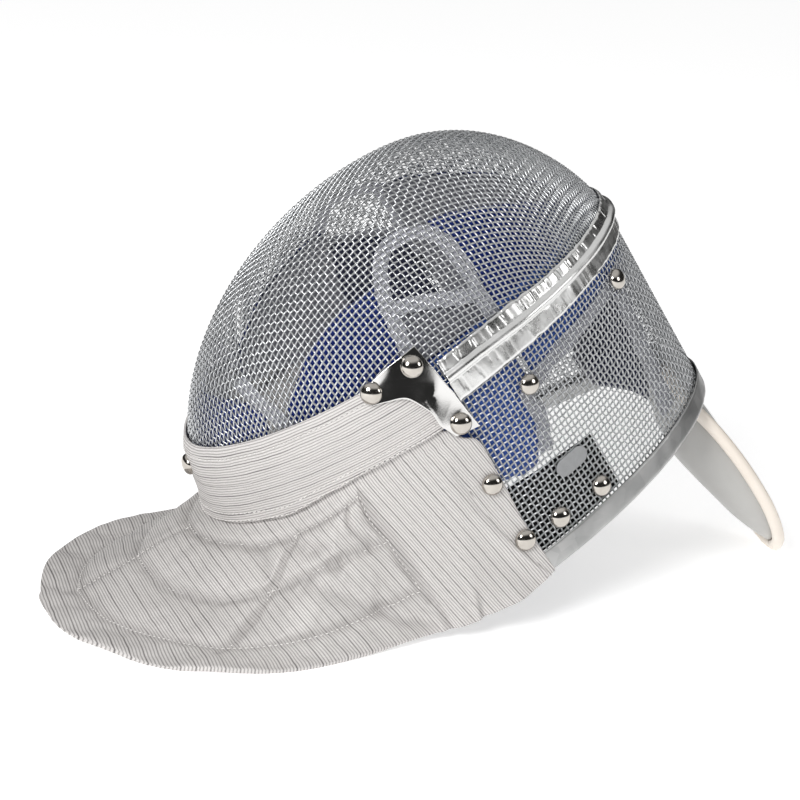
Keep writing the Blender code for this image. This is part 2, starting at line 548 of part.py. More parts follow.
def build():
    clear_scene()
    collection = bpy.data.collections.new("fencing_mask")
    bpy.context.scene.collection.children.link(collection)
    origin = bpy.data.objects.new("fencing_mask_origin", None)
    origin.location = (0.0, -CENTRE_Y * MM, 0.0)
    collection.objects.link(origin)
    group = (collection, origin)

    wire = material("galvanised_wire", (0.55, 0.56, 0.57), 0.35, 1.0)
    tinned = material("tinned_sheet", (0.72, 0.72, 0.72), 0.25, 1.0)
    galvanised = material("galvanised_strip", (0.50, 0.51, 0.52), 0.45, 1.0)
    chrome = material("chromed_plate", (0.80, 0.80, 0.80), 0.06, 1.0)
    nickel = material("nickel_rivet", (0.70, 0.66, 0.60), 0.12, 1.0)
    lame = material("silver_lame", (0.70, 0.68, 0.67), 0.55, 0.2)
    vinyl = material("white_vinyl", (0.72, 0.71, 0.69), 0.35)
    cream = material("cream_piping", (0.82, 0.76, 0.69), 0.40)
    blue = material("blue_lining", (0.03, 0.07, 0.30), 0.85)
    trim = material("grey_webbing", (0.42, 0.42, 0.46), 0.80)
    black = material("black_webbing", (0.01, 0.01, 0.01), 0.85)
    tag = material("grey_tag", (0.25, 0.25, 0.25), 0.50)

    front_mesh(group, wire)
    rear_mesh(group, wire)
    seam_band(group, tinned)
    rear_rim(group, galvanised)
    bib_collar(group, lame)
    bib_skirt(group, lame)
    tongue_pad(group, vinyl)
    tongue_piping(group, cream)
    pad_between("lining_forehead", FOREHEAD, 18, 5, PAD, PAD_LIFT, group, blue, whole=True)
    pad_between("lining_chin", CHIN_PAD, 12, 3, PAD, PAD_LIFT, group, blue, whole=True)
    lining_crown(group, blue)
    profile = rivet_profile(nickel)
    for side, left in (("left", True), ("right", False)):
        side_plate(side, left, group, chrome)
        pad_between("lining_side_" + side, SIDE_PAD, 12, 4, PAD, PAD_LIFT, group, blue, left)
        pad_between("strap_patch_" + side, PATCH, 4, 3, WEBBING, PAD_LIFT, group, black, left)
        crown_strap(side, left, group, trim)
        for name, t, f, lift in zip(*RIVETS.values()):
            rivet("rivet_" + name + "_" + side, t, f, lift, left, profile, nickel, group)
    rivet("rivet_chin", CHIN_RIVET_T, CHIN_RIVET_F, CHIN_RIVET_LIFT, True, profile, nickel, group)
    size_tag(group, tag)


build()
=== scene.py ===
import bpy
import numpy as np
from mathutils import Matrix, Vector


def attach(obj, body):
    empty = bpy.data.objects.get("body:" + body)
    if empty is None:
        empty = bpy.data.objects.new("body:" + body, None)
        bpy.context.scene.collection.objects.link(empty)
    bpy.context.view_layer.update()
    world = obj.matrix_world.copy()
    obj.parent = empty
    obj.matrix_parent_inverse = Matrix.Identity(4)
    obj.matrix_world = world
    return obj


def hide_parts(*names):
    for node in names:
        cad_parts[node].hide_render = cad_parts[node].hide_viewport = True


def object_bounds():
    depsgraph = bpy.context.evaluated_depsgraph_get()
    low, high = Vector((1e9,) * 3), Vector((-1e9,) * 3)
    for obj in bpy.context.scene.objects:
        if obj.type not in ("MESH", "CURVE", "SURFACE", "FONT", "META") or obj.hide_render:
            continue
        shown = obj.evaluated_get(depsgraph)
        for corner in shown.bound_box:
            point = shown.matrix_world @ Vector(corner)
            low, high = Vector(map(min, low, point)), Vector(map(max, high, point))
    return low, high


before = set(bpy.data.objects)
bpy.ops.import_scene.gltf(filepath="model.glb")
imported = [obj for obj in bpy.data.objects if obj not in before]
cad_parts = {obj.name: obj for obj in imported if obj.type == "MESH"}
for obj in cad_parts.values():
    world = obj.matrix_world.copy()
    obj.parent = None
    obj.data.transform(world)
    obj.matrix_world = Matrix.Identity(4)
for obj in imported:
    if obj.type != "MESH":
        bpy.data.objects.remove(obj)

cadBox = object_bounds()
mm = 0.001
quarterTurn = np.pi / 2.0

# The fencing mask is worked out in millimetres in the frame of its wearer: x to the left, f forward out of
# the face, u up. settle() lays it down on its bib, in the frame's metres.
shell = {
    "seamHalfWidth": 83.0, "seamHeight": 147.2, "seamPinch": 9.0,
    "rearHalfWidth": 89.0, "rearHeight": 146.0, "rearPinch": 7.7, "rearDepth": 123.0,
    "jawDepth": 116.6, "jawPinch": 7.2, "neckSpread": 0.27,
    "faceDepth": 94.7, "faceMiddle": 47.2, "roundness": 2.24, "fullness": 1.535,
}
lying = {"tilt": 56.9, "height": 128.5, "middle": 31.7}


def shellPoint(t, f, swing=None):
    # t is the angle round the mask from the left ear, f the depth. Each section is half an ellipse pinched
    # near the crown, which shrinks as sin(swing) towards the most forward point.
    turn = np.radians(t)
    roundX, roundU = np.cos(turn), np.sin(turn)
    back = np.clip(-f / shell["rearDepth"], 0.0, None)
    if swing is None:
        swing = np.arccos(np.clip(f / shell["faceDepth"], 0.0, 1.0) ** (shell["fullness"] / 2.0))
    shrink = np.sin(np.minimum(swing, quarterTurn)) ** (2.0 / shell["roundness"])
    width = shell["seamHalfWidth"] + (shell["rearHalfWidth"] - shell["seamHalfWidth"]) * back
    above = roundU > 0.0
    pinch = shell["seamPinch"] + (shell["rearPinch"] - shell["seamPinch"]) * back
    pinch = np.where(above, pinch, shell["jawPinch"])
    crown = shell["seamHeight"] + (shell["rearHeight"] - shell["seamHeight"]) * back
    jaw = shell["jawDepth"] + shell["neckSpread"] * np.clip(-f, 0.0, None)
    x = roundX * (width * shrink - pinch * shrink ** 2 * np.abs(roundU))
    u = np.where(above, crown, jaw) * shrink * roundU + shell["faceMiddle"] * (1.0 - shrink)
    return np.stack([x, f + 0.0 * x, u], -1)


def unit(vectors):
    # each vector over its own length
    return vectors / np.maximum(np.linalg.norm(vectors, axis=-1, keepdims=True), 1e-12)


def shellNormal(t, f):
    # cross product of the shell's slopes along its depth and round it
    around = shellPoint(t + 0.05, f) - shellPoint(t - 0.05, f)
    along = shellPoint(t, f + 0.05) - shellPoint(t, f - 0.05)
    return unit(np.cross(along, around))


def onShell(t, f, lift=0.0):
    # a point of the shell moved out along its normal by the lift
    t, f, lift = np.broadcast_arrays(np.asarray(t, float), np.asarray(f, float), np.asarray(lift, float))
    return shellPoint(t, f) + shellNormal(t, f) * lift[..., None]


def turnDown(vectors):
    # the wearer's frame tilted about x until the face looks up
    tilt = np.radians(lying["tilt"])
    x, f, u = vectors[..., 0], vectors[..., 1], vectors[..., 2]
    return np.stack([x, u * np.sin(tilt) - f * np.cos(tilt), f * np.sin(tilt) + u * np.cos(tilt)], -1)


def settle(points):
    # tilted, moved onto the floor and made metres
    return (turnDown(points) + np.array([0.0, -lying["middle"], lying["height"]])) * mm


def flipped(side):
    # side is 1 on the wearer's left and -1 for the mirror image on the right
    return np.array([side, 1.0, 1.0])


def layer(t, f, lift, side=1.0):
    # a grid laid over one side of the shell at a lift, in metres
    return settle(onShell(t, f, lift) * flipped(side))


def between(table, column, place):
    # straight lines through a column's rows
    return np.interp(place, np.arange(len(table[column])), table[column])


def curved(table, column, place):
    # smooth curve through a column's rows: cubic pieces with the slopes of the rows beside them
    values = np.asarray(table[column], float)
    slopes = np.gradient(values)
    row = np.clip(np.floor(place).astype(int), 0, len(values) - 2)
    s = place - row
    start, end = values[row], values[row + 1]
    return (start * (1 + 2 * s) * (1 - s) ** 2 + slopes[row] * s * (1 - s) ** 2
            + end * s ** 2 * (3 - 2 * s) + slopes[row + 1] * s ** 2 * (s - 1))


def unevenness(points, size, seed, waves=18):
    # sum of sine waves in random directions, with lengths near the given size; about -1 to 1
    dice = np.random.default_rng(seed)
    ways = unit(dice.normal(size=(waves, points.shape[-1]))) / (size * dice.uniform(0.6, 1.7, (waves, 1)))
    return np.sin(2.0 * np.pi * (points @ ways.T) + dice.uniform(0.0, 6.28, waves)).sum(-1) / np.sqrt(waves)


def ease(x):
    # smooth step from 0 to 1
    x = np.clip(x, 0.0, 1.0)
    return x * x * (3.0 - 2.0 * x)


def bell(x):
    # 1 at the middle, falling off as a bell curve
    return np.exp(-x ** 2)


def grid(columns, rows):
    # a runs along the columns and b up the rows, both from 0 to 1
    return np.meshgrid(np.linspace(0.0, 1.0, columns + 1), np.linspace(0.0, 1.0, rows + 1), indexing="ij")


def roundTurn(count):
    # equal angles round a circle
    return np.arange(count) / count * 2.0 * np.pi


def runLength(path):
    # length along a line from its first point to each of its points
    return np.concatenate([[0.0], np.cumsum(np.linalg.norm(np.diff(path, axis=0), axis=1))])


def addPiece(name, points, faces, material, replaced=(), spread=None):
    # points in metres; faces are arrays of corner numbers; spread is each point's place on the cloth in mm
    corners = np.concatenate([block.ravel() for block in faces])
    sizes = np.concatenate([np.full(len(block), block.shape[1]) for block in faces])
    starts = np.concatenate([[0], np.cumsum(sizes)[:-1]])
    following = np.arange(len(corners)) + 1
    following[starts + sizes - 1] = starts
    firsts = np.repeat(corners[starts], sizes)
    volume = (points[firsts] * np.cross(points[corners], points[corners[following]])).sum()
    if volume < 0.0:  # turned inside out by a mirrored side
        corners = np.concatenate([block[:, ::-1].ravel() for block in faces])
    mesh = bpy.data.meshes.new(name)
    mesh.vertices.add(len(points))
    mesh.vertices.foreach_set("co", points.astype(np.float32).ravel())
    mesh.loops.add(len(corners))
    mesh.loops.foreach_set("vertex_index", corners.astype(np.int32))
    mesh.polygons.add(len(sizes))
    mesh.polygons.foreach_set("loop_start", starts.astype(np.int32))
    if spread is not None:
        mesh.uv_layers.new(name="cloth").data.foreach_set("uv", spread[corners].astype(np.float32).ravel())
    mesh.update(calc_edges=True)
    mesh.validate()
    mesh.shade_smooth()
    mesh.materials.append(material)
    piece = bpy.data.objects.new(name, mesh)
    bpy.context.scene.collection.objects.link(piece)
    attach(piece, "root")
    if replaced:
        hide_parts(*replaced)
    return piece


def tubeFaces(number):
    # quads between the rings of a grid of point numbers
    after = np.roll(number, -1, -1)
    quads = np.stack([number[..., :-1, :], number[..., 1:, :], after[..., 1:, :], after[..., :-1, :]], -1)
    return quads.reshape(-1, 4)


def addWall(name, outer, inner, material, replaced=(), slot=None, spread=None):
    # a closed wall between two grids of points in metres, joined round their border; spread is told for one
    # grid or for both
    columns, rows = outer.shape[:2]
    number = np.arange(columns * rows).reshape(columns, rows)
    quads = np.stack([number[:-1, :-1], number[1:, :-1], number[1:, 1:], number[:-1, 1:]], -1).reshape(-1, 4)
    rim = np.concatenate([number[:-1, 0], number[-1, :-1], number[:0:-1, -1], number[0, :0:-1]])
    after = np.roll(rim, -1)
    edge = np.stack([after, rim, rim + number.size, after + number.size], -1)
    faces = np.concatenate([quads, quads[:, ::-1] + number.size, edge])
    points = np.concatenate([outer.reshape(-1, 3), inner.reshape(-1, 3)])
    if spread is not None:
        spread = np.resize(spread.reshape(-1, 2), (len(points), 2))
    return addPiece(name, points, [faces], material, replaced, spread)


def fromHex(code):
    # sRGB to linear: the standard curve, straight near black and a power of 2.4 above
    channels = np.array([int(code[i:i + 2], 16) for i in (0, 2, 4)]) / 255.0
    linear = np.where(channels <= 0.04045, channels / 12.92, ((channels + 0.055) / 1.055) ** 2.4)
    return (*linear.tolist(), 1.0)


def live(node):
    # the node's first output that its settings leave in use
    return next(output for output in node.outputs if output.enabled)


def addNode(tree, kind, inputs=None, **settings):
    # an input takes a number, a hex colour, a socket, or a node for its first live output
    node = tree.nodes.new("ShaderNode" + kind)
    for name, value in settings.items():
        setattr(node, name, value)
    for name, value in (inputs or {}).items():
        if isinstance(value, bpy.types.Node):
            value = live(value)
        if isinstance(value, bpy.types.NodeSocket):
            tree.links.new(value, node.inputs[name])
        else:
            node.inputs[name].default_value = fromHex(value) if isinstance(value, str) else value
    return node


def newMaterial(name, roughness, **sockets):
    # values that are the same all over stand on the shader's own sockets
    material = bpy.data.materials.new(name)
    material.use_nodes = True
    shader = material.node_tree.nodes["Principled BSDF"]
    for socket, value in {"Roughness": roughness, **sockets}.items():
        shader.inputs[socket.replace("_", " ")].default_value = value
    return material, material.node_tree


def feed(tree, colour, bump=None, roughness=None):
    # links the ends of a tree to its shader
    shader = tree.nodes["Principled BSDF"]
    for socket, node in (("Base Color", colour), ("Normal", bump), ("Roughness", roughness)):
        if node:
            tree.links.new(live(node), shader.inputs[socket])


def speckled(name, tones, grain, roughness, dull=None, relief=None, **sockets):
    # The tone wanders between two colours with a noise; grain is its scale in waves per metre and its detail.
    # dull maps the noise from one range to a range of roughness. relief is the scale, detail, strength and
    # depth of a finer bump, which is pebbled where its detail is None.
    material, tree = newMaterial(name, roughness, **sockets)
    place = addNode(tree, "TexCoord").outputs["Object"]
    noise = addNode(tree, "TexNoise", {"Vector": place, "Scale": grain[0], "Detail": grain[1]})
    tone = addNode(tree, "Mix", {0: noise, 6: tones[0], 7: tones[1]}, data_type="RGBA")
    bump = None
    if dull:
        names = ("From Min", "From Max", "To Min", "To Max")
        dull = addNode(tree, "MapRange", {"Value": noise, **dict(zip(names, dull))})
    if relief:
        scale, detail, strength, depth = relief
        if detail is None:
            fine = addNode(tree, "TexVoronoi", {"Vector": place, "Scale": scale})
        else:
            fine = addNode(tree, "TexNoise", {"Vector": place, "Scale": scale, "Detail": detail})
        bump = addNode(tree, "Bump", {"Height": fine, "Strength": strength, "Distance": depth})
    feed(tree, tone, bump, dull)
    return material


def getPoints(data):
    # the mesh's points as rows, in metres
    values = np.empty(len(data.vertices) * 3, np.float32)
    data.vertices.foreach_get("co", values)
    return values.reshape(-1, 3)


def puff(piece, held, pressure, cap, grow=0.0, stiff=12.0, frames=20):
    # Blender's cloth solver blows a closed piece up against the points that its seams hold, with no gravity.
    # Each point keeps its way from the start, cut to the cap in mm. grow is the share of spare cloth.
    scene = bpy.context.scene
    group = piece.vertex_groups.new(name="held")
    group.add(np.flatnonzero(held).tolist(), 1.0, "REPLACE")
    cloth = piece.modifiers.new("cloth", "CLOTH")
    cloth.point_cache.frame_start, cloth.point_cache.frame_end = 1, frames
    settings = cloth.settings
    settings.quality, settings.mass, settings.air_damping = 6, 0.3, 4.0
    settings.tension_stiffness = settings.compression_stiffness = settings.shear_stiffness = stiff
    settings.bending_stiffness = 0.4
    settings.vertex_group_mass = group.name
    settings.use_pressure, settings.uniform_pressure_force = True, pressure
    settings.shrink_min = settings.shrink_max = -grow
    settings.effector_weights.gravity = 0.0
    cloth.collision_settings.use_collision = False
    start = getPoints(piece.data)
    for moment in range(1, frames + 1):
        scene.frame_set(moment)
    way = getPoints(piece.evaluated_get(bpy.context.evaluated_depsgraph_get()).data) - start
    length = np.linalg.norm(way, axis=1, keepdims=True)
    way *= cap * mm * np.tanh(length / (cap * mm)) / np.maximum(length, 1e-9)
    piece.modifiers.remove(cloth)
    piece.vertex_groups.remove(group)
    piece.data.vertices.foreach_set("co", (start + way).ravel())
    piece.data.update()
    scene.frame_set(1)
    print(piece.name, "blown up by cloth simulation, at most", round(float(length.max()) / mm, 2), "mm")


# Camera, floor and light

view = {
    "lens": 108.35, "eye": (1.18677, -0.40138, 0.49814),
    "back": (0.90688642, -0.29276251, 0.30306291), "right": (0.2923717, 0.95511161, 0.04775558),
    "paper": ("F4F4F4", "FAFAFA"), "paperGlow": 0.5, "skyTop": 0.72, "skyLow": 0.03,
    "key": (40.0, 0.9, (1.5, -1.5, 1.4)), "fill": (9.0, 1.0, (1.6, 2.0, 1.1)),  # watts, metres, place
}
back, right = Vector(view["back"]), Vector(view["right"])
lens = bpy.data.cameras.new("photoCamera")
lens.lens, lens.sensor_width = view["lens"], 36.0
lens.clip_start, lens.clip_end = 0.05, 50.0
camera = bpy.data.objects.new("photoCamera", lens)
turned = Matrix((right, back.cross(right), back)).transposed().to_4x4()
turned.translation = Vector(view["eye"])
camera.matrix_world = turned
bpy.context.scene.collection.objects.link(camera)
bpy.context.scene.camera = camera
bpy.context.scene.view_settings.view_transform = "Standard"

paper, tree = newMaterial("whiteStudioPaper", 0.85, Emission_Color=(1.0, 1.0, 1.0, 1.0),
                          Emission_Strength=view["paperGlow"])
grain = addNode(tree, "TexNoise", {"Scale": 3.0, "Detail": 2.0})
feed(tree, addNode(tree, "Mix", {0: grain, 6: view["paper"][0], 7: view["paper"][1]}, data_type="RGBA"))
floorMesh = bpy.data.meshes.new("floor")
floorMesh.from_pydata([(-8, -8, 0), (8, -8, 0), (8, 8, 0), (-8, 8, 0)], [], [(0, 1, 2, 3)])
floorMesh.materials.append(paper)
floor = bpy.data.objects.new("floor", floorMesh)
floor.location.z = cadBox[0][2]
bpy.context.scene.collection.objects.link(floor)

# A white ceiling over a darker room: wires and domes take a bright top and a dark band at the horizon
room = bpy.data.worlds.new("studioRoom")
bpy.context.scene.world = room
room.use_nodes = True
sky = room.node_tree
height = addNode(sky, "SeparateXYZ", {"Vector": addNode(sky, "TexCoord").outputs["Generated"]})
rise = addNode(sky, "MapRange", {"Value": height.outputs["Z"], "From Min": 0.45, "From Max": 0.78,
                                 "To Min": view["skyLow"], "To Max": view["skyTop"]},
               interpolation_type="SMOOTHSTEP")
sky.nodes["Background"].inputs["Color"].default_value = (1.0, 1.0, 1.0, 1.0)
sky.links.new(live(rise), sky.nodes["Background"].inputs["Strength"])

# a soft key above and left of the camera, and a weaker fill on its right that the seam band mirrors
for name in ("key", "fill"):
    power, size, spot = view[name]
    light = bpy.data.lights.new("soft" + name.title(), "AREA")
    light.shape, light.size, light.energy = "DISK", size, power
    lamp = bpy.data.objects.new(light.name, light)
    lamp.location = spot
    lamp.rotation_euler = (Vector((0.0, 0.0, 0.1)) - lamp.location).to_track_quat("-Z", "Y").to_euler()
    bpy.context.scene.collection.objects.link(lamp)
print("camera, floor and light are set")

# Woven wire

wire = {
    "thickness": 1.0, "crimp": 0.5, "pitch": 3.05, "sides": 6, "steps": 2, "wall": 2.0,
    "middleTilt": 0.07, "strands": 80, "faceEdge": 6.0, "seamGap": 0.3, "endF": -119.0, "pastSeam": 60.0,
    "edgeF": [-50, -38, 0], "edgeT": [-1, 3, 3],
}

# bright galvanised steel wire: a clean grey metal with blurred highlights and duller patches of zinc
galvanisedWire = speckled("galvanisedWire", ("A9ABAD", "D8D9DA"), (160.0, 3.0), 0.27,
                          dull=(0.0, 1.0, 0.26, 0.4), Metallic=1.0)


def forward(swing):
    # how far out of the face a swing reaches
    return np.cos(np.minimum(swing, quarterTurn)) ** (2.0 / shell["fullness"]) * shell["faceDepth"]


def facePoint(dial):
    # dial is the swing away from the most forward point, as a vector across and up
    swing = np.linalg.norm(dial, axis=-1)
    f = np.where(swing < quarterTurn, forward(swing), (quarterTurn - swing) * wire["pastSeam"])
    return shellPoint(np.degrees(np.arctan2(dial[..., 1], dial[..., 0])), f, swing)


def faceNormal(dial):
    # cross product of the face's slopes up and across
    step = np.array([[1e-4, 0.0], [0.0, 1e-4]])
    slopes = [facePoint(dial + move) - facePoint(dial - move) for move in step]
    return unit(np.cross(slopes[1], slopes[0]))


def nextCrossing(first, second, dial):
    # the point of the face one pitch from two crossings, by Newton's steps from a guess
    dial = dial.copy()
    for _ in range(14):
        here = facePoint(dial)
        miss = np.stack([np.linalg.norm(here - near, axis=-1) - wire["pitch"] for near in (first, second)], -1)
        slopes = []
        for move in np.array([[1e-5, 0.0], [0.0, 1e-5]]):
            there = facePoint(dial + move)
            moved = [np.linalg.norm(there - near, axis=-1) - wire["pitch"] for near in (first, second)]
            slopes.append((np.stack(moved, -1) - miss) / 1e-5)
        (aa, ba), (ab, bb) = slopes[0].T, slopes[1].T
        whole = aa * bb - ab * ba
        whole = np.where(np.abs(whole) < 1e-3, np.copysign(1e-3, whole), whole)
        change = np.stack([(bb * miss[:, 0] - ab * miss[:, 1]) / whole,
                           (aa * miss[:, 1] - ba * miss[:, 0]) / whole], -1)
        length = np.linalg.norm(change, axis=-1, keepdims=True)
        dial -= change * np.minimum(1.0, 0.04 / np.maximum(length, 1e-12))
    return dial, np.abs(miss).max(-1)


def faceCrossings(upward):
    # A flat cloth of wire pressed over the face keeps its pitch and lets its squares shear. From a middle wire
    # and an upright wire the crossings follow one diagonal after another, each a pitch from its two neighbours.
    count = wire["strands"]
    dial = np.full((count, count, 2), np.nan)
    swing = np.linspace(0.0, 3.0, 6000)
    shrink = np.maximum(np.sin(np.minimum(swing, quarterTurn)) ** (2.0 / shell["roundness"]), 1e-6)
    level = shell["faceMiddle"] + wire["middleTilt"] * (shell["faceDepth"] - forward(swing)) / shrink
    turn = np.arcsin(np.clip(level / shell["seamHeight"], -1.0, 1.0))
    middle = np.stack([swing * np.cos(turn), swing * np.sin(turn)], -1)
    upright = np.stack([0.0 * swing, swing * upward], -1)
    stops = np.arange(count) * wire["pitch"]
    dial[:, 0], dial[0] = [np.stack([np.interp(stops, runLength(facePoint(line)), line[:, axis], right=np.nan)
                                     for axis in (0, 1)], -1) for line in (middle, upright)]
    for diagonal in range(2, 2 * count - 1):
        i = np.arange(max(1, diagonal - count + 1), min(diagonal, count))
        j = diagonal - i
        known = np.isfinite(dial[i - 1, j] + dial[i, j - 1] + dial[i - 1, j - 1]).all(-1)
        if not known.any():
            continue
        i, j = i[known], j[known]
        first, second, behind = dial[i - 1, j], dial[i, j - 1], dial[i - 1, j - 1]
        found, miss = nextCrossing(facePoint(first), facePoint(second), first + second - behind)
        found[(miss > 0.05) | (np.linalg.norm(found, axis=-1) > 2.2)] = np.nan
        dial[i, j] = found
    return dial


def weave(name, crossings, normals, alive, replaced):
    # Two sets of wires over and under each other: each centre line swings by the crimp, up at one crossing and
    # down at the next, as a cosine, and a ring of points is carried along it.
    steps, sides = wire["steps"], wire["sides"]
    angle = roundTurn(sides)[:, None]
    sideways = np.arange(sides)
    for across in (0, 1):
        points, out, made = [np.swapaxes(array, 0, across) for array in (crossings, normals, alive)]
        count, lines = points.shape[:2]
        place = np.arange((count - 1) * steps + 1) / steps
        before = np.minimum(place.astype(int), count - 2)
        share = (place - before)[:, None, None]
        centre = points[before] * (1.0 - share) + points[before + 1] * share
        out = unit(out[before] * (1.0 - share) + out[before + 1] * share)
        parity = 1.0 - 2.0 * ((np.arange(lines)[None, :] + across) % 2)
        swing = np.cos(np.pi * place)[:, None] * parity * wire["crimp"]
        centre = centre + out * (swing - wire["wall"] / 2.0)[..., None]
        near = np.minimum(np.round(place + 1e-6).astype(int), count - 1)
        ok = made[near] & made[before] & made[np.minimum(before + (share[:, 0, 0] > 0), count - 1)]
        ahead = unit(np.gradient(np.nan_to_num(centre), axis=0))
        beside = unit(np.cross(ahead, out))
        over = np.cross(beside, ahead)
        ring = (over[:, :, None] * np.cos(angle) + beside[:, :, None] * np.sin(angle)) * wire["thickness"] / 2.0
        rings = centre[:, :, None] + ring
        joined = ok[:-1] & ok[1:]
        used = np.zeros_like(ok)
        used[:-1] |= joined
        used[1:] |= joined
        number = np.full(ok.shape, -1)
        number[used] = np.arange(used.sum())
        low, high = number[:-1][joined][:, None] * sides, number[1:][joined][:, None] * sides
        quads = np.stack([low + sideways, low + (sideways + 1) % sides, high + (sideways + 1) % sides,
                          high + sideways], -1).reshape(-1, 4)
        begins, ends = used.copy(), used.copy()
        begins[1:] &= ~joined
        ends[:-1] &= ~joined
        caps = np.concatenate([number[begins][:, None] * sides + sideways[::-1],
                               number[ends][:, None] * sides + sideways])
        addPiece(name + ("Warp", "Weft")[across], settle(rings[used].reshape(-1, 3)), [quads, caps],
                 galvanisedWire, () if across else (replaced,))


quarters = {up: faceCrossings(up) for up in (1.0, -1.0)}
halves = []
for side in (1.0, -1.0):
    dial = np.concatenate([quarters[-1.0][:, :0:-1], quarters[1.0]], 1)
    t = np.degrees(np.arctan2(dial[..., 1], dial[..., 0]))
    points = facePoint(dial)
    # the face ends at the seam above the ears and under the collar below them
    edge = wire["seamGap"] + (wire["faceEdge"] - wire["seamGap"]) * ease((4.0 - t) / 8.0)
    halves.append((points * flipped(side), faceNormal(dial) * flipped(side), points[..., 1] > edge))
weave("faceWire", *[np.concatenate([halves[1][k][:0:-1], halves[0][k]], 0) for k in range(3)], "front_mesh")

fine = np.linspace(-1.0, 181.0, 4000)
length = runLength(shellPoint(fine, -60.0 + 0.0 * fine))
stops = np.arange(0.0, length[-1], wire["pitch"]) + (length[-1] % wire["pitch"]) / 2.0
t, f = np.meshgrid(np.interp(stops, length, fine), np.arange(-wire["seamGap"], wire["endF"], -wire["pitch"]),
                   indexing="ij")
low = np.interp(f, wire["edgeF"], wire["edgeT"])
weave("wrapWire", shellPoint(t, f), shellNormal(t, f), (t > low) & (t < 180.0 - low), "rear_mesh")
print("wire woven")

# Seam band: beaten tinned strip with a round ridge over the seam

band = {
    "t": [5.8, 14, 25, 35, 50, 90], "front": [13, 13.2, 13, 10.5, 9, 9.5], "ridge": [3, 3.4, 1.9, 0.8, 0, 0],
    "rear": [-11.5, -11.3, -11.5, -12, -11.5, -11], "lift": 1.6, "ridgeHalf": 2.5, "ridgeLift": 3.9,
    "sheet": 0.63, "columns": 900, "rows": 48, "ragged": 0.15, "dent": 0.12, "cut": 0.3, "edgeDrop": 0.5,
}

# tinned steel strip hammered down over the wire: bright, wrinkled, with grey rubbed spots
tinnedStrip = speckled("tinnedStrip", ("D8D8D6", "F0F0EF"), (90.0, 5.0), 0.22, dull=(0.3, 0.7, 0.2, 0.38),
                       relief=(420.0, 4.0, 0.12, 0.0003), Metallic=1.0)

a, b = grid(band["columns"], band["rows"])
t = band["t"][0] + (180.0 - 2.0 * band["t"][0]) * a
fromEar = 90.0 - np.abs(t - 90.0)
front, ridgeF, rear = [np.interp(fromEar, band["t"], band[edge]) for edge in ("front", "ridge", "rear")]
f = rear + (front - rear) * b
place = np.stack([t * 2.4, f], -1)  # mm along and across the band
fromRidge, fromMiddle = f - ridgeF, np.abs(2.0 * b - 1.0)
ridge = np.sqrt(np.clip(1.0 - (fromRidge / band["ridgeHalf"]) ** 2, 0.0, 1.0))
flange = ease((np.abs(fromRidge) - band["ridgeHalf"]) / 1.5)
edge = ease((fromMiddle - 0.88) / 0.12)
ragged = band["ragged"] * unevenness(place[..., :1], 9.0, 3) * ease((fromMiddle - 0.6) / 0.4) * np.sign(b - 0.5)
# the hammer leaves soft waves, and narrow cuts across the front flange
crimped = unevenness(place * np.array([1.0, 0.3]), 6.5, 5) * np.where(fromRidge > 0.0, 1.0, 0.7)
cuts = ease((unevenness(place * np.array([1.0, 0.12]), 2.6, 6) - 0.45) / 0.5)
dented = band["dent"] * crimped - band["cut"] * (cuts * np.where(fromRidge > 0.0, 1.0, 0.3))
lift = band["lift"] + (band["ridgeLift"] - band["lift"]) * ridge + dented * flange - band["edgeDrop"] * edge
lift = lift + 0.12 * unevenness(place, 22.0, 8)
addWall("seamBand", layer(t, f + ragged, lift), layer(t, f + ragged, lift - band["sheet"]), tinnedStrip,
        ("seam_band",), "seam_band")

# Rear rim: folded galvanised strip

rim = {"endF": -120.7, "width": 12.3, "inside": 10.0, "lift": 1.5, "sheet": 0.64, "columns": 360, "dent": 0.1}

# galvanised strip: smooth dull zinc with faint spangle and small dents
galvanisedStrip, tree = newMaterial("galvanisedStrip", 0.4, Metallic=1.0)
place = addNode(tree, "TexCoord").outputs["Object"]
spangle = addNode(tree, "TexVoronoi", {"Vector": place, "Scale": 140.0})
cloudy = addNode(tree, "TexNoise", {"Vector": place, "Scale": 60.0, "Detail": 8.0})
mixed = addNode(tree, "Math", {0: spangle.outputs["Color"], 1: 0.35}, operation="MULTIPLY")
mixed = addNode(tree, "Math", {0: mixed, 1: cloudy}, operation="ADD")
feed(tree, addNode(tree, "Mix", {0: mixed, 6: "8B8C8C", 7: "BFBFBE"}, data_type="RGBA"),
     addNode(tree, "Bump", {"Height": cloudy, "Strength": 0.3, "Distance": 0.001}))

inside = -wire["wall"] - rim["lift"]
half = (rim["lift"] - inside) / 2.0
bend = np.linspace(-quarterTurn, quarterTurn, 13)
# the strip's section: its inner leg, the half round fold and its outer leg
foldF = np.concatenate([np.linspace(rim["inside"], half, 6)[:-1], half - half * np.cos(bend),
                        np.linspace(half, rim["width"], 8)[1:]])
foldLift = np.concatenate([np.full(5, -half), half * np.sin(bend), np.full(7, half)])
slopeF, slopeLift = np.gradient(foldF), np.gradient(foldLift)
size = np.hypot(slopeF, slopeLift)
a, step = np.meshgrid(np.linspace(0.0, 1.0, rim["columns"] + 1), np.arange(len(foldF)), indexing="ij")
t = wire["edgeT"][0] + (180.0 - 2.0 * wire["edgeT"][0]) * a
dents = rim["dent"] * unevenness(np.stack([t * 2.5, foldF[step]], -1), 22.0, 11)
walls = [layer(t, rim["endF"] + foldF[step] + slopeLift[step] / size[step] * depth,
               inside + half + foldLift[step] - slopeF[step] / size[step] * depth + dents)
         for depth in (0.0, rim["sheet"])]
addWall("rearRim", *walls, galvanisedStrip, ("rear_rim",), "rim")
print("band and rim made")

# Side plates

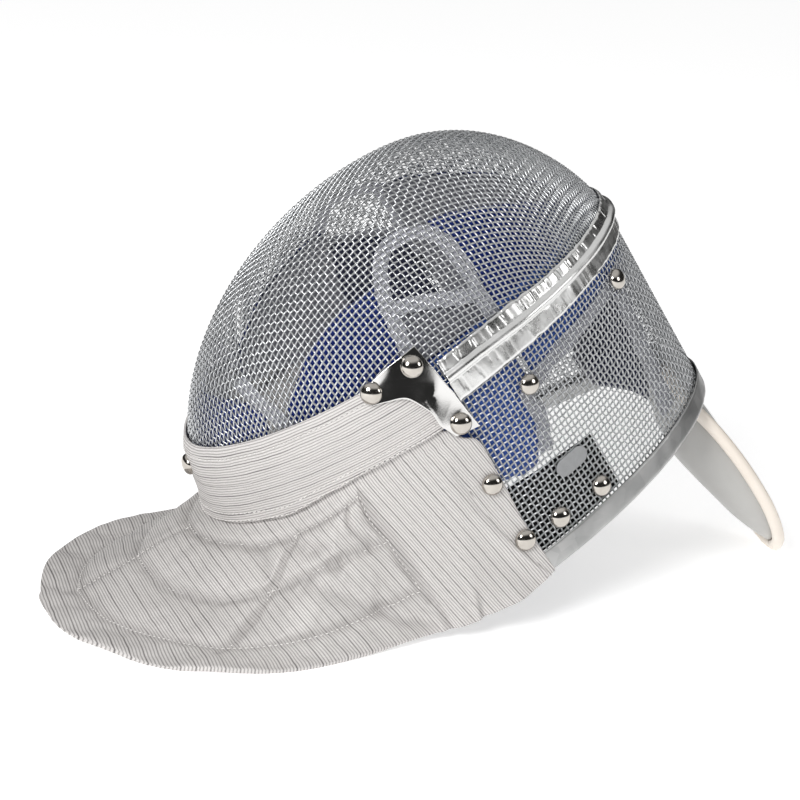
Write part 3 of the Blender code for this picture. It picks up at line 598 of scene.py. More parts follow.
plate = {
    "outerT": [-14.6, -5.5, 2.9, 4.4, 5.5, 6.4], "outerF": [20.5, 24.5, 26.3, 11.7, -5.4, -27.5],
    "outerLift": [4.4, 3.2, 2.6, 3.4, 4.4, 4.4],
    "innerT": [-12.4, -8.8, -3.75, -0.6, -0.2, 1.2], "innerF": [12.5, 10.6, 6.5, -5, -15, -24.5],
    "innerLift": [4.4, 4.4, 4.4, 4.4, 4.4, 4.4],
    "sheet": 1.2, "columns": 120, "rows": 30, "dish": 0.7, "dent": 0.25,
}

# chromed steel plate: a mirror with fine rubbing marks and a few pits
chromedSteel = speckled("chromedSteel", ("D4D3D1", "E2E1DF"), (60.0, 6.0), 0.07, dull=(0.4, 0.75, 0.04, 0.2),
                        relief=(900.0, 2.0, 0.05, 0.0002), Metallic=1.0)

a, b = grid(plate["columns"], plate["rows"])
row = a * (len(plate["outerT"]) - 1)
edges = [[trace(plate, prefix + column, row) for column in ("T", "F", "Lift")]
         for prefix, trace in (("inner", curved), ("outer", between))]
t, f, lift = [low + (high - low) * b for low, high in zip(*edges)]
dish = -plate["dish"] * np.sin(np.pi * b) * np.sin(np.pi * np.clip(a * 1.15, 0.0, 1.0)) ** 0.5
lift = lift + dish + plate["dent"] * unevenness(np.stack([a * 60.0, b * 20.0], -1), 26.0, 4)
for side, name in ((1.0, "left"), (-1.0, "right")):
    addWall("sidePlate_" + name, layer(t, f, lift, side), layer(t, f, lift - plate["sheet"], side),
            chromedSteel, ("side_plate_" + name,), "corner_plate")

# Rivets

rivet = {
    "names": ["plate_front", "plate_top", "plate_rear", "bib_middle", "bib_rear",
              "patch_low", "patch_high", "lining_low", "lining_high"],
    "t": [-11.3, 0.5, 3.3, 2.3, 2, 11, 22.5, 20.2, 58],
    "f": [18, 18.9, -20.1, -58.5, -94.7, -98.7, -100.5, -28.5, -23.5],
    "lift": [4.9, 4.4, 4.9, 3.4, 4.7, 0.5, 0.5, 0.5, 0.5],
    "radius": 5.8, "height": 3.8, "segments": 32,
}

# nickel-plated domed rivet: a warm mirror, brighter on top
nickelPlate = speckled("nickelPlate", ("B3ADA5", "CBC6BF"), (240.0, 4.0), 0.1, dull=(0.0, 1.0, 0.05, 0.17),
                       Metallic=1.0)


def addRivet(name, t, f, lift, side):
    # a dome turned about the shell's normal: its radius goes as the sine and its height as the cosine
    rise = np.linspace(0.0, quarterTurn, 10)[1:]
    radius = np.concatenate([np.sin(rise), [1.0, 0.93]]) * rivet["radius"]
    height = np.concatenate([np.cos(rise) ** 0.9, [-0.04, -0.08]]) * rivet["height"]
    count = rivet["segments"]
    spin = roundTurn(count)
    normal = shellNormal(np.float64(t), np.float64(f)) * flipped(side)
    one = unit(np.cross(normal, [0.0, 1.0, 0.0]))
    two = np.cross(normal, one)
    ring = one * np.cos(spin)[:, None] + two * np.sin(spin)[:, None]
    base = onShell(t, f, lift) * flipped(side)
    points = base + ring[None] * radius[:, None, None] + normal * height[:, None, None]
    number = 1 + np.arange(len(radius) * count).reshape(len(radius), count)
    top = np.stack([np.zeros(count, int), number[0], np.roll(number[0], -1)], -1)
    points = np.concatenate([[base + normal * rivet["height"]], points.reshape(-1, 3)])
    addPiece("dome_" + name, settle(points), [tubeFaces(number), top, number[-1][None, ::-1]], nickelPlate,
             ("rivet_" + name,))


for name, t, f, lift in zip(rivet["names"], rivet["t"], rivet["f"], rivet["lift"]):
    for side, suffix in ((1.0, "_left"), (-1.0, "_right")):
        addRivet(name + suffix, t, f, lift, side)
addRivet("chin", -90.0, 7.5, 2.5, 1.0)
print("plates and rivets made")

# Bib

skirt = {
    "topT": [-90, -70, -53, -41, -30, -26, -23, -9, 0.4, 2.4, 4.8, 4.6, 3.8, 4],
    "topF": [-8, -8, -8, -8, -8, -8, -8, -8, -21, -28.5, -36, -60, -90, -120],
    "neckT": [-90, -70, -53, -41, -30, -26, -23, -10, -4, -3.2, -2.5, -2.5, -1, 2.8],
    "neckF": [-21.5, -22, -24.5, -24.5, -22, -21, -20.5, -21, -26, -32, -38, -61, -91, -120.2],
    "lift": [0, 0, 0, 0, 0, 0, 0, 0, 0.4, 2.5, 2.8, 2.8, 3.6, 5.2],
    "leftX": [0, 50, 90, 110.5, 119, 110, 96, 96.5, 96.5, 96.25, 96, 95.5, 94, 93.5],
    "leftY": [-185, -177.5, -151.5, -122, -78, -36, 4, 20, 30, 34, 38, 52, 63, 71],
    "rightX": [0, 45, 81, 102, 118.5, 108, 96, 96.5, 96.5, 96.25, 96, 95.5, 94, 93.5],
    "rightY": [-185, -172, -150, -120, -78, -36, 4, 20, 30, 34, 38, 52, 63, 71],
    "hemZ": [3, 3, 3, 3, 3, 3, 4, 6.5, 9.5, 11, 12.5, 18, 24, 30],
    "flat": [0.84, 0.85, 0.88, 0.95, 1, 1, 1, 1, 1, 1, 1, 1, 1, 1],
    "sag": [1.2, 1.9, 2.5, 2.5, 2, 1.5, 1, 1, 1, 1, 1, 1, 1, 1],
    "seam1": [0.12, 0.1, 0.08, 0.07, 0.07, 0.07, 0.07, 0.08, 0.08, 0.08, 0.08, 0.08, 0.08, 0.08],
    "seam2": [0.42, 0.4, 0.36, 0.29, 0.28, 0.31, 0.4, 0.42, 0.42, 0.42, 0.42, 0.42, 0.42, 0.42],
    "seam3": [0.78, 0.75, 0.7, 0.69, 0.68, 0.69, 0.74, 0.75, 0.75, 0.75, 0.75, 0.75, 0.75, 0.75],
    "padding": [1, 1, 1, 1, 1, 1, 1, 0, 0, 0, 0, 0, 0, 0],
    "rays": [0.0, 2.95, 6.0], "pillow": 3.4, "padded": 5.0, "border": 3.0, "cloth": 2.0, "groove": 1.3,
    "pucker": 0.22, "wrinkle": 0.9, "sideWave": 0.5, "hemWave": 1.1, "channel": 1.9, "tip": 0.3, "drapes": 40,
    "pressure": 4.0, "cap": 2.2, "spareCloth": 0.008, "stiff": 8.0, "foldWidth": 4.2, "foldDepth": 1.7,
    "rowLength": 42.0, "stepLength": 30.0, "sideRowLength": 15.0, "cords": (0.755, 0.656),
    "endStep": [0.9, 1.6, 2, 3.1, 4], "endRow": [5.55, 5.8, 6, 6.3, 6.6],
    "folds": [[(3.7, 2.12), (4.8, 2.6), (5.5, 3.04)], [(5.45, 2.86), (5.7, 3.44), (6.3, 3.88)],
              [(3.55, 1.5), (4.2, 2), (4.6, 2.1)], [(1.75, 0.98), (2.2, 1.12), (2.7, 1.66)],
              [(2.45, 0.84), (3.3, 1.36), (4.1, 1.7)], [(4.6, 1.1), (5, 1.6), (5.6, 1.9)]],
}
collar = {
    "topF": 20.2, "backF": -20.0, "bottomT": [-90, -60, -45, -34, -20, 0],
    "bottomF": [-20, -21.5, -23.5, -20, -17.5, -18], "lift": 2.6, "cloth": 1.8,
    "endF": [-24, -12, 0, 7, 12, 21], "endT": [1, 1, 0.6, -1.5, -6, -9.5], "columns": 460, "rows": 40,
    "sewnAt": (0.035, 0.13, 0.86),  # two rows of stitches near the lower edge and one near the upper
}

# silver lame: cotton woven with flat metal thread in cords, so pale cords with darker lines between them and a
# soft metallic sheen. Cords are 1.35 mm apart and every fourth line is darker. Painted shade darkens the cloth
# in the seam grooves, the channel and the fold creases.
lame = {"pitches": (1.35, 5.4), "sharpness": (3.0, 30.0), "pale": ("C8C4C2", "E4E1DF"),
        "lines": ("9A9694", "6A6766"), "creaseShadeTone": "6E6A68", "creaseShadeShare": 0.3}
silverLame, tree = newMaterial("silverLame", 0.6, Metallic=0.12)
place = addNode(tree, "UVMap", uv_map="cloth")
split = addNode(tree, "SeparateXYZ", {"Vector": place})
wobble = addNode(tree, "TexNoise", {"Vector": place, "Scale": 0.05, "Detail": 2.0})
shift = addNode(tree, "Math", {0: wobble, 1: 1.2}, operation="MULTIPLY")
shifted = addNode(tree, "Math", {0: split.outputs["X"], 1: shift}, operation="ADD")
lines = []
for pitch, sharpness in zip(lame["pitches"], lame["sharpness"]):
    angle = addNode(tree, "Math", {0: shifted, 1: 2.0 * np.pi / pitch}, operation="MULTIPLY")
    wave = addNode(tree, "Math", {0: angle}, operation="COSINE")
    wave = addNode(tree, "MapRange", {"Value": wave, "From Min": -1.0, "From Max": 1.0})
    lines.append(addNode(tree, "Math", {0: wave, 1: sharpness}, operation="POWER"))
stretch = addNode(tree, "Mapping", {"Vector": place, "Scale": (0.7, 0.02, 1.0)})
perCord = addNode(tree, "TexNoise", {"Vector": stretch, "Scale": 1.0, "Detail": 1.0})
strength = addNode(tree, "MapRange", {"Value": perCord, "From Min": 0.35, "From Max": 0.65, "To Min": 0.25,
                                      "To Max": 1.0})
darker = addNode(tree, "Math", {0: lines[1], 1: strength}, operation="MULTIPLY")
fuzz = addNode(tree, "TexNoise", {"Vector": place, "Scale": 1.1, "Detail": 3.0})
# painted shade: a point attribute mixes a dark tone into the cloth in the seam grooves, the channel and the
# folds
creaseShade = addNode(tree, "Attribute", attribute_name="creaseShade").outputs["Fac"]
creaseShading = addNode(tree, "MapRange", {"Value": creaseShade, "To Min": 0.0, "To Max": lame["creaseShadeShare"]})
cloth = lame["pale"][0]
for share, colour in ((fuzz, lame["pale"][1]), (lines[0], lame["lines"][0]), (darker, lame["lines"][1]),
                      (creaseShading, lame["creaseShadeTone"])):
    cloth = addNode(tree, "Mix", {0: share, 6: cloth, 7: colour}, data_type="RGBA")
relief = addNode(tree, "Math", {0: fuzz, 1: lines[0]}, operation="SUBTRACT")
feed(tree, cloth, addNode(tree, "Bump", {"Height": relief, "Strength": 0.35, "Distance": 0.0005}))

# white cotton thread of the seams: matt, slightly fuzzy, twisted
cottonThread = speckled("cottonThread", ("DCD9D6", "F4F2EF"), (1500.0, 2.0), 0.7)


def pillow(row, step):
    # padding swells as a rounded sine between the stitched rings and rays
    ring = np.abs(np.sin(np.pi * np.clip(step, 1.0, 3.0)))
    ray = sum(np.sin(np.pi * np.clip((row - start) / (end - start), 0.0, 1.0))
              for start, end in zip(skirt["rays"][:-1], skirt["rays"][1:]))
    return np.clip(ring, 0.0, 1.0) ** 0.5 * np.clip(ray, 0.0, 1.0) ** 0.22


def skirtPoints(side, laid, row, step):
    # The neck line and the hem are joined by straight lines whose height falls as a power of the way down.
    # step is -2 at the hidden upper edge, 0 at the neck, 1 to 3 on the stitched rings and 4 at the hem.
    # laid counts the rows from seam to seam where row counts them from one place of the outline to the next.
    rounded = np.sqrt(row ** 2 + skirt["tip"] ** 2)  # the hem's point is rounded off
    top, neck = [layer(*[curved(skirt, column, row) for column in (edge + "T", edge + "F", "lift")]) / mm
                 for edge in ("top", "neck")]
    left, right = [np.stack([curved(skirt, name + "X", row), curved(skirt, name + "Y", rounded)], -1)
                   for name in ("left", "right")]
    hem = np.where(side[..., None] > 0.0, left, right)
    hem = np.concatenate([hem, curved(skirt, "hemZ", row)[..., None]], -1) - [0.0, lying["middle"], 0.0]
    rings = [between(skirt, column, row) for column in ("seam1", "seam2", "seam3")] + [1.0]
    way = sum(ring * np.clip(1.0 - np.abs(step - index), 0.0, 1.0) for index, ring in enumerate(rings, 1))
    fall = np.clip(1.0 - way / between(skirt, "flat", row), 0.0, 1.0) ** between(skirt, "sag", row)
    below = neck + (hem - neck) * way[..., None]
    below[..., 2] = hem[..., 2] + (neck[..., 2] - hem[..., 2]) * fall
    swell = skirt["pillow"] * pillow(laid, step) * (laid <= 6.0)
    outward = np.stack([hem[..., 0] / 200.0, 0.0 * row - 0.35, 0.0 * row + 0.8], -1)
    below = below + outward * swell[..., None]
    hidden = np.clip(-step, 0.0, 2.0)[..., None] / 2.0
    points = np.where(step[..., None] < 0.0, neck + (top - neck) * hidden, below)
    return points * np.stack([np.where(side > 0.0, 1.0, -1.0), 1.0 + 0.0 * row, 1.0 + 0.0 * row], -1)


def skirtSpread(points, row):
    # cords run level across the bib in front and down its sides, where y and height sum up the same along them
    turn = ease((row - 5.0) / 4.0)
    (along, up), y, z = skirt["cords"], points[..., 1], points[..., 2]
    return np.stack([along * y + up * z, points[..., 0] * (1.0 - turn) + (up * y - along * z) * turn], -1)


def awayFrom(place, line):
    # least distance from a line of straight pieces, everything in mm
    nearest = np.full(place.shape[:-1], 1e9)
    for start, end in zip(line[:-1], line[1:]):
        way = end - start
        share = np.clip(((place - start) * way).sum(-1) / (way * way).sum(), 0.0, 1.0)
        nearest = np.minimum(nearest, np.linalg.norm(place - start - way * share[..., None], axis=-1))
    return nearest


def stations(stops, counts):
    # evenly spaced values between stops, with each stop once
    runs = [np.linspace(start, end, count)[:-1] for start, end, count in zip(stops[:-1], stops[1:], counts)]
    return np.concatenate(runs + [stops[-1:]])


sideRows = stations([0.0, 2.95, 6.0, 13.0], (36, 38, 45))
steps = stations([-2.0, 0.0, 1.0, 2.0, 3.0, 4.0], (6, 5, 13, 15, 12))
signed, step = np.meshgrid(np.concatenate([sideRows[::-1], -sideRows[1:]]), steps, indexing="ij")
side, laid = np.where(signed >= 0.0, 1.0, -1.0), np.abs(signed)
bulge = ease((laid - 3.2) / 2.8) * ease((9.5 - laid) / 3.5)  # the quilting's end runs aslant
row = laid + (np.interp(step, skirt["endStep"], skirt["endRow"]) - 6.0) * bulge
points = skirtPoints(side, laid, row, step)
drape = ease((laid - 6.3) / 0.5) * ease((12.8 - laid) / 0.5) * ease((step + 0.1) / 0.5)
for _ in range(skirt["drapes"]):  # the side panels hang without creases from plate to rim
    middle = (points[2:] + points[:-2]) / 2.0
    points[1:-1] += 0.5 * drape[1:-1, :, None] * (middle - points[1:-1])
normals = unit(np.cross(np.gradient(points, axis=0), np.gradient(points, axis=1)))
if normals[..., 2].mean() < 0.0:
    normals = -normals
spread = skirtSpread(points, row)
scale = np.array([skirt["rowLength"], skirt["stepLength"]])
girth = np.minimum(laid, 6.0) * scale[0] + np.maximum(laid - 6.0, 0.0) * skirt["sideRowLength"]
place = np.stack([side * girth, step * scale[1]], -1)  # roughly mm round the bib and down it
nearRing = bell(np.minimum(np.abs(step - np.round(step)), 0.5) / 0.085) * ((step > 0.5) & (step < 3.5))
nearRay = sum(bell((laid - ray) / 0.075) for ray in skirt["rays"]) * ease(step - 0.2) * (step < 3.3)
nearSeam = np.clip(nearRing + nearRay, 0.0, 1.0)
quilted = (laid <= 6.05) * ease((step + 0.2) / 0.6)
puckers = unevenness(place, 12.0, 21) * (0.35 + 0.9 * nearSeam)
folds = unevenness(place, 60.0, 23) * ease((step - 0.2) / 1.5)
sideFolds = unevenness(place * np.array([1.0, 0.25]), 45.0, 24) * (laid > 6.05) * ease(step)
hemWaves = unevenness(place[..., :1], 34.0, 25) * ease(step - 3.0) * ease((row - 4.8) / 1.0)
channel = bell((laid - 6.16) / 0.1) * ease(step - 0.3)
creased, awayEdge = np.zeros_like(row), np.full(row.shape, 1e3)
creasing = ease((step - 0.6) / 0.5)
for line in skirt["folds"]:
    far = awayFrom(np.stack([row * np.where(side > 0.0, 1.0, 1.08), step], -1) * scale, np.array(line) * scale)
    across = far / skirt["foldWidth"]
    creased += (1.0 - 0.7 * across ** 2) * np.exp(-across ** 2 / 1.6)
    awayEdge = np.minimum(awayEdge, far)
rise = (skirt["pucker"] * puckers * quilted + skirt["wrinkle"] * folds + skirt["sideWave"] * sideFolds
        + skirt["hemWave"] * hemWaves - skirt["channel"] * channel - skirt["foldDepth"] * creased * creasing
        - skirt["groove"] * nearSeam * quilted)
points = points + normals * rise[..., None]
thick = np.where((step > 0.5) & (step < 3.0), skirt["padded"], skirt["border"])
thick = skirt["cloth"] + (thick - skirt["cloth"]) * between(skirt, "padding", row) * ease(step * 2.0)
inner = points - normals * thick[..., None]
inner[..., 2] = np.maximum(inner[..., 2], 0.05)
points[..., 2] = np.maximum(points[..., 2], inner[..., 2] + 0.8)
bib = addWall("bibSkirt", points * mm, inner * mm, silverLame, ("bib_skirt",), "bib_cloth", spread)
# painted shade for the bib: 1 in the seam grooves, less in the channel and beside the fold creases
creaseShade = np.clip(nearSeam * quilted + 0.8 * channel + 0.6 * bell(awayEdge / 2.5) * creasing, 0.0, 1.0)
shade = bib.data.attributes.new("creaseShade", "FLOAT", "POINT")
shade.data.foreach_set("value", np.resize(creaseShade.ravel(), len(bib.data.vertices)).astype(np.float32))
onSeam = np.isin(np.round(step, 6), [1.0, 2.0, 3.0]) | np.isin(np.round(laid, 6), skirt["rays"])
loose = (laid < 6.0) & (step > 0.3) & (step < 3.95) & ~(onSeam & (step > 0.9) & (step < 3.1))
held = np.concatenate([~loose.ravel(), np.ones(loose.size, bool)])
puff(bib, held, skirt["pressure"], skirt["cap"], grow=skirt["spareCloth"], stiff=skirt["stiff"])
finer = bib.modifiers.new("finer", "SUBSURF")
finer.levels = finer.render_levels = 1
sewn = getPoints(bib.data)[:step.size].reshape(points.shape) / mm
along, down = laid[:, 0] <= 6.0, (steps >= 1.0) & (steps <= 3.0)
seamLines = []
for ring in (1.0, 2.0, 3.0):
    column = np.flatnonzero(np.abs(steps - ring) < 1e-6)[0]
    seamLines.append((sewn[along, column], normals[along, column]))
for ray in (2.95, -2.95, 6.0, -6.0, 0.0):
    line = np.argmin(np.abs(signed[:, 0] - ray))
    seamLines.append((sewn[line, down], normals[line, down]))

a, b = grid(collar["columns"], collar["rows"])
level = collar["backF"] + (collar["topF"] - collar["backF"]) * b
end = np.interp(level, collar["endF"], collar["endT"])
t = -180.0 - end + (180.0 + 2.0 * end) * a
bottom = np.interp(np.abs(t + 90.0) - 90.0, collar["bottomT"], collar["bottomF"])
f = bottom + (collar["topF"] - bottom) * b
place = np.stack([f, t * 1.9], -1)
wave = 0.22 * unevenness(place, 30.0, 31) + 0.12 * unevenness(place * np.array([1.0, 0.4]), 9.0, 32)
edges = sum(bell((b - line) / 0.018) for line in collar["sewnAt"])
bent = ease((b - 0.9) / 0.1)  # the upper edge is turned in against the wire
lift = collar["lift"] + wave * (1.0 - bent) - 0.22 * edges - 0.7 * bent
outer, inner = layer(t, f, lift), layer(t, f, lift - collar["cloth"] * (1.0 - 0.35 * bent))
jawBand = addWall("bibCollar", outer, inner, silverLame, ("bib_collar",), "bib_cloth", place)
around = turnDown(shellNormal(t, f))
for line in collar["sewnAt"]:
    column = int(round(line * collar["rows"]))
    seamLines.append((outer[4:-4, column] / mm, around[4:-4, column]))

# Each stitch is a short tube over the cloth whose ends dip into it: rings of points at four places along it,
# raised by the thread's profile.
thread = {"length": 2.0, "gap": 1.0, "thickness": 0.55, "sides": 6,
          "along": [0.0, 0.25, 0.75, 1.0], "raised": [0.0, 0.5, 0.5, 0.0], "size": [0.7, 1.0, 1.0, 0.7]}
turn = roundTurn(thread["sides"])
alongStitch, raised, size = [np.array(thread[key]) for key in ("along", "raised", "size")]
rings = []
for path, out in seamLines:
    length = runLength(path)
    starts = np.arange(1.0, length[-1] - thread["length"], thread["length"] + thread["gap"])
    stops = starts[:, None] + alongStitch * thread["length"]
    where, up = [np.stack([np.interp(stops, length, line[:, axis]) for axis in range(3)], -1)
                 for line in (path, out)]
    up = unit(up)
    ahead = unit(where[:, -1:] - where[:, :1]) + 0.0 * where
    beside = unit(np.cross(ahead, up))
    ring = up[:, :, None] * np.cos(turn)[:, None] + beside[:, :, None] * np.sin(turn)[:, None]
    where = where + up * raised[None, :, None]
    rings.append(where[:, :, None] + ring * (size * thread["thickness"] / 2.0)[None, :, None, None])
rings = np.concatenate(rings)
number = np.arange(rings[..., 0].size).reshape(rings.shape[:3])
addPiece("bibStitches", rings.reshape(-1, 3) * mm, [tubeFaces(number), number[:, 0], number[:, -1, ::-1]],
         cottonThread)
print("bib made")

# Tongue

tongue = {
    "f": [-92, -108, -123, -138, -155, -174, -195, -211, -223.5, -231, -234.4],
    "half": [18, 18, 19, 22.5, 24, 25, 26, 23.5, 17, 9, 3],
    "top": [137, 138.5, 140, 141.5, 142.5, 143, 143, 142, 140.6, 139.4, 139],
    "arch": [8, 7.8, 7.5, 5.5, 3.6, 2.2, 1.6, 1.2, 0.6, 0.2, 0],
    "depth": [14, 19, 23, 27, 29, 26, 21, 16, 10, 5.5, 4],
    "edge": 4.0, "piping": 3.6, "gap": 0.5, "columns": 48, "rows": 120, "pressure": 4.0, "cap": 0.8,
}

# white vinyl: smooth soft plastic skin with a fine pebble and a satin gloss, drawn mid grey as painted shade
# over its white
shadedWhiteVinyl = speckled("shadedWhiteVinyl", ("AEADAA", "BEBDBA"), (40.0, 3.0), 0.38,
                      relief=(1400.0, None, 0.12, 0.0002), IOR=1.52)
# cream piping: the same vinyl, yellowed, rolled round a cord
creamVinyl = speckled("creamVinyl", ("E5DACD", "F1E9DF"), (55.0, 4.0), 0.36, relief=(55.0, 4.0, 0.2, 0.001),
                      IOR=1.52)

a, b = grid(tongue["columns"], tongue["rows"])
row = (1.0 - (1.0 - b) ** 1.25) * (len(tongue["f"]) - 1)
across = np.sin((a - 0.5) * np.pi)
half, f, top, arch, depth = [curved(tongue, column, row) for column in ("half", "f", "top", "arch", "depth")]
crown = top - arch * across ** 2 - 0.8 * np.abs(across) ** 8
bulge = np.clip(1.0 - np.abs(across) ** 2.6, 0.0, 1.0) ** 0.6
under = top - arch * across ** 2 - (tongue["edge"] - 1.0) - (depth - tongue["edge"] + 1.0) * bulge
outer, inner = [settle(np.stack([half * across, f, height], -1)) for height in (crown, under)]
pad = addWall("tonguePad", outer, inner, shadedWhiteVinyl, ("tongue_pad",), "tongue_vinyl")
held = np.tile(((np.abs(across) > 0.96) | (b < 0.04) | (b > 0.97)).ravel(), 2)
puff(pad, held, tongue["pressure"], tongue["cap"])

rows = np.linspace(0.0, len(tongue["f"]) - 1, 90)
half, level = curved(tongue, "half", rows), curved(tongue, "top", rows) - curved(tongue, "arch", rows)
edge = np.stack([half, curved(tongue, "f", rows), level - tongue["edge"] / 2.0], -1)
ahead = unit(np.gradient(edge[:, :2], axis=0))
edge[:, :2] += np.stack([-ahead[:, 1], ahead[:, 0]], -1) * (tongue["piping"] + tongue["gap"])
tip = np.array([[0.0, edge[-1, 1] - 0.4, edge[-1, 2]]])
path = np.concatenate([edge, tip, edge[::-1] * flipped(-1.0)])


def sweep(name, path, up, profile, material, replaced=()):
    # a closed outline carried along a path: its first axis lies beside the path and its second along up
    ahead = unit(np.gradient(path, axis=0))
    beside = unit(np.cross(ahead, up))
    over = np.cross(beside, ahead)
    points = path[:, None] + beside[:, None] * profile[None, :, :1] + over[:, None] * profile[None, :, 1:]
    number = np.arange(points[..., 0].size).reshape(points.shape[:2])
    faces = [tubeFaces(number)[:, [0, 3, 2, 1]], number[:1, ::-1], number[-1:]]
    return addPiece(name, settle(points.reshape(-1, 3)), faces, material, replaced)


turn = roundTurn(14)
sweep("tonguePiping", path, np.array([0.0, 0.0, 1.0]),
      np.stack([np.cos(turn), np.sin(turn)], -1) * tongue["piping"], creamVinyl, ("tongue_piping",))
print("tongue made")

# Lining

pads = {
    "forehead": {"t": [23.5, 31, 40, 51, 63, 75, 90], "front": [69, 66, 58, 46, 30, 16, 10],
                 "rear": [-28, -28, -28, -28, -28, -28, -28]},
    "chin": {"t": [-90, -75, -60, -46], "front": [42, 42, 40, 32], "rear": [-4, -4, -2, 6]},
    "side": {"t": [-38, -28, -16, -4, 1, 4, 10, 14, 18, 20.5, 22],
             "front": [30, 50, 58, 60, 59, 47, 42, 38, 33, 30, 29],
             "rear": [8, 2, -8, -36, -58, -64, -70, -70, -56, -32, -28]},
    "crown": {"f": [-32, -44, -58, -71, -85, -98, -106], "top": [130, 131, 131, 130.5, 128, 119, 116.5],
              "depth": [6, 20, 31, 39, 36, 12.5, 4], "half": 18.0},
    "thickness": 8.0, "lift": -4.0, "start": 0.85, "pressure": 4.0, "cap": 0.7, "faceF": 14.0, "earT": 2.5,
    "edge": 7.0,
}
webbing = {"strapF": [-104, -32], "strapT": [53, 60.5], "strapHalf": 5.0, "thickness": 1.6,
           "patchT": [3.5, 10, 20, 27.5], "patchFront": [-69, -71, -74, -76],
           "patchRear": [-110.3, -110.3, -110, -109.5]}

# lining cloth: royal blue brushed nylon outside and grey towelling where it touches the face, all matt with a
# soft nap. The same blue cloth is also drawn in two darker tones as painted shade: a deeper blue in front of
# the band and a near-black blue at the sides and in the crown; the grey is drawn a little dark as painted shade
# for the mask's inside. The cloth map tells the four tones apart by number.
blue, shadedBlue, darkShadedBlue, grey = 0.0, 1.0, 2.0, 3.0  # the blue is deeper in front of the band
liningTones = (("3351A0", "547CD4"), ("112560", "203C95"), ("0A0F28", "182148"), ("5A5B64", "8A8B94"))
liningCloth, tree = newMaterial("liningCloth", 0.85, Sheen_Weight=0.25)
kind = addNode(tree, "SeparateXYZ", {"Vector": addNode(tree, "UVMap", uv_map="cloth")})
nap = addNode(tree, "TexNoise", {"Vector": addNode(tree, "TexCoord").outputs["Object"], "Scale": 600.0,
                                 "Detail": 4.0})
tones = [addNode(tree, "Mix", {0: nap, 6: dark, 7: light}, data_type="RGBA") for dark, light in liningTones]
cloth = tones[0]
for level, tone in zip((0.5, 1.5, 2.5), tones[1:]):
    past = addNode(tree, "Math", {0: kind.outputs["X"], 1: level}, operation="GREATER_THAN")
    cloth = addNode(tree, "Mix", {0: past, 6: cloth, 7: tone}, data_type="RGBA")
feed(tree, cloth, addNode(tree, "Bump", {"Height": nap, "Strength": 0.4, "Distance": 0.0005}))


def tapeMaterial(name, dark, light, roughness):
    # woven polyester tape: rows of small floats, drawn at 1.2 mm where the real ones are half of that
    material, tree = newMaterial(name, roughness)
    place = addNode(tree, "TexCoord").outputs["Object"]
    floats = addNode(tree, "TexVoronoi", {"Vector": place, "Scale": 830.0})
    feed(tree, addNode(tree, "Mix", {0: floats, 6: light, 7: dark}, data_type="RGBA"),
         addNode(tree, "Bump", {"Height": floats, "Strength": 0.4, "Distance": 0.0005}, invert=True))
    return material


greyTape = tapeMaterial("greyTape", "A6A7B1", "EAEAF2", 0.6)
blackTape = tapeMaterial("blackTape", "020203", "0C0C0E", 0.8)


def cushion(piece, held):
    # blown up; both walls are held at the same places
    puff(piece, np.tile(held.ravel(), 2), pads["pressure"], pads["cap"])


def addPad(name, replaced, t, front, rear, side, rows):
    # A cushion whose two faces draw together as a quarter circle near its edges. One row of points follows the
    # change of colour at faceF, where the pad reaches across it: blue to grey cloth on the side pads past earT,
    # and blue to painted shade elsewhere.
    split = np.clip((pads["faceF"] - rear) / (front - rear), 0.0, 1.0)
    share = np.linspace(0.0, 1.0, rows + 1)[None, :]
    cut = np.where((split > 0.08) & (split < 0.92), split, 0.5)
    share = np.where(share < 0.5, share * 2.0 * cut, cut + (share - 0.5) * 2.0 * (1.0 - cut))
    f = rear + (front - rear) * share
    inFrom = np.minimum(np.linspace(0.0, 1.0, len(t)), np.linspace(1.0, 0.0, len(t)))[:, None]
    t = t[:, None] + 0.0 * f
    inFrom = inFrom * np.abs(t[-1, 0] - t[0, 0]) * 1.5
    depth = np.clip(np.minimum(inFrom, np.minimum(f - rear, front - f)) / pads["edge"], 0.0, 1.0)
    full = np.sqrt(1.0 - (1.0 - depth) ** 2)
    middle = pads["lift"] - pads["thickness"] / 2.0
    half = pads["thickness"] / 2.0 * (0.25 + 0.75 * full) * pads["start"]
    # painted shade: outside faces in front of faceF take the darker blue, the same blue cloth drawn as if in
    # shade
    outside, inside = np.where(f > pads["faceF"] + 0.1, shadedBlue, blue), np.full(f.shape, grey)
    if name.startswith("side"):
        # side pads: grey cloth in front past the ear, painted shade in front before it, and inner faces past
        # the ear in the near-black blue, painted shade on blue cloth
        outside *= np.where(t > pads["earT"], grey, shadedBlue)
        inside = np.where(t > pads["earT"], darkShadedBlue, grey)
    kinds = np.stack([np.concatenate([outside, inside]), np.zeros((2 * f.shape[0], f.shape[1]))], -1)
    pad = addWall(name, layer(t, f, middle + half, side), layer(t, f, middle - half, side), liningCloth,
                  replaced, "lining", kinds)
    cushion(pad, depth < 0.2)


def mirrored(table, count):
    # a table told from one end to its middle, run through to the other end
    first, last = table["t"][0], table["t"][-1]
    place = np.linspace(0.0, 1.0, count + 1)
    if last > 0.0:
        t = first + 2.0 * (last - first) * place
        return t, last - np.abs(t - last)
    t = 2.0 * first - last + 2.0 * (last - first) * place
    return t, first + np.abs(t - first)


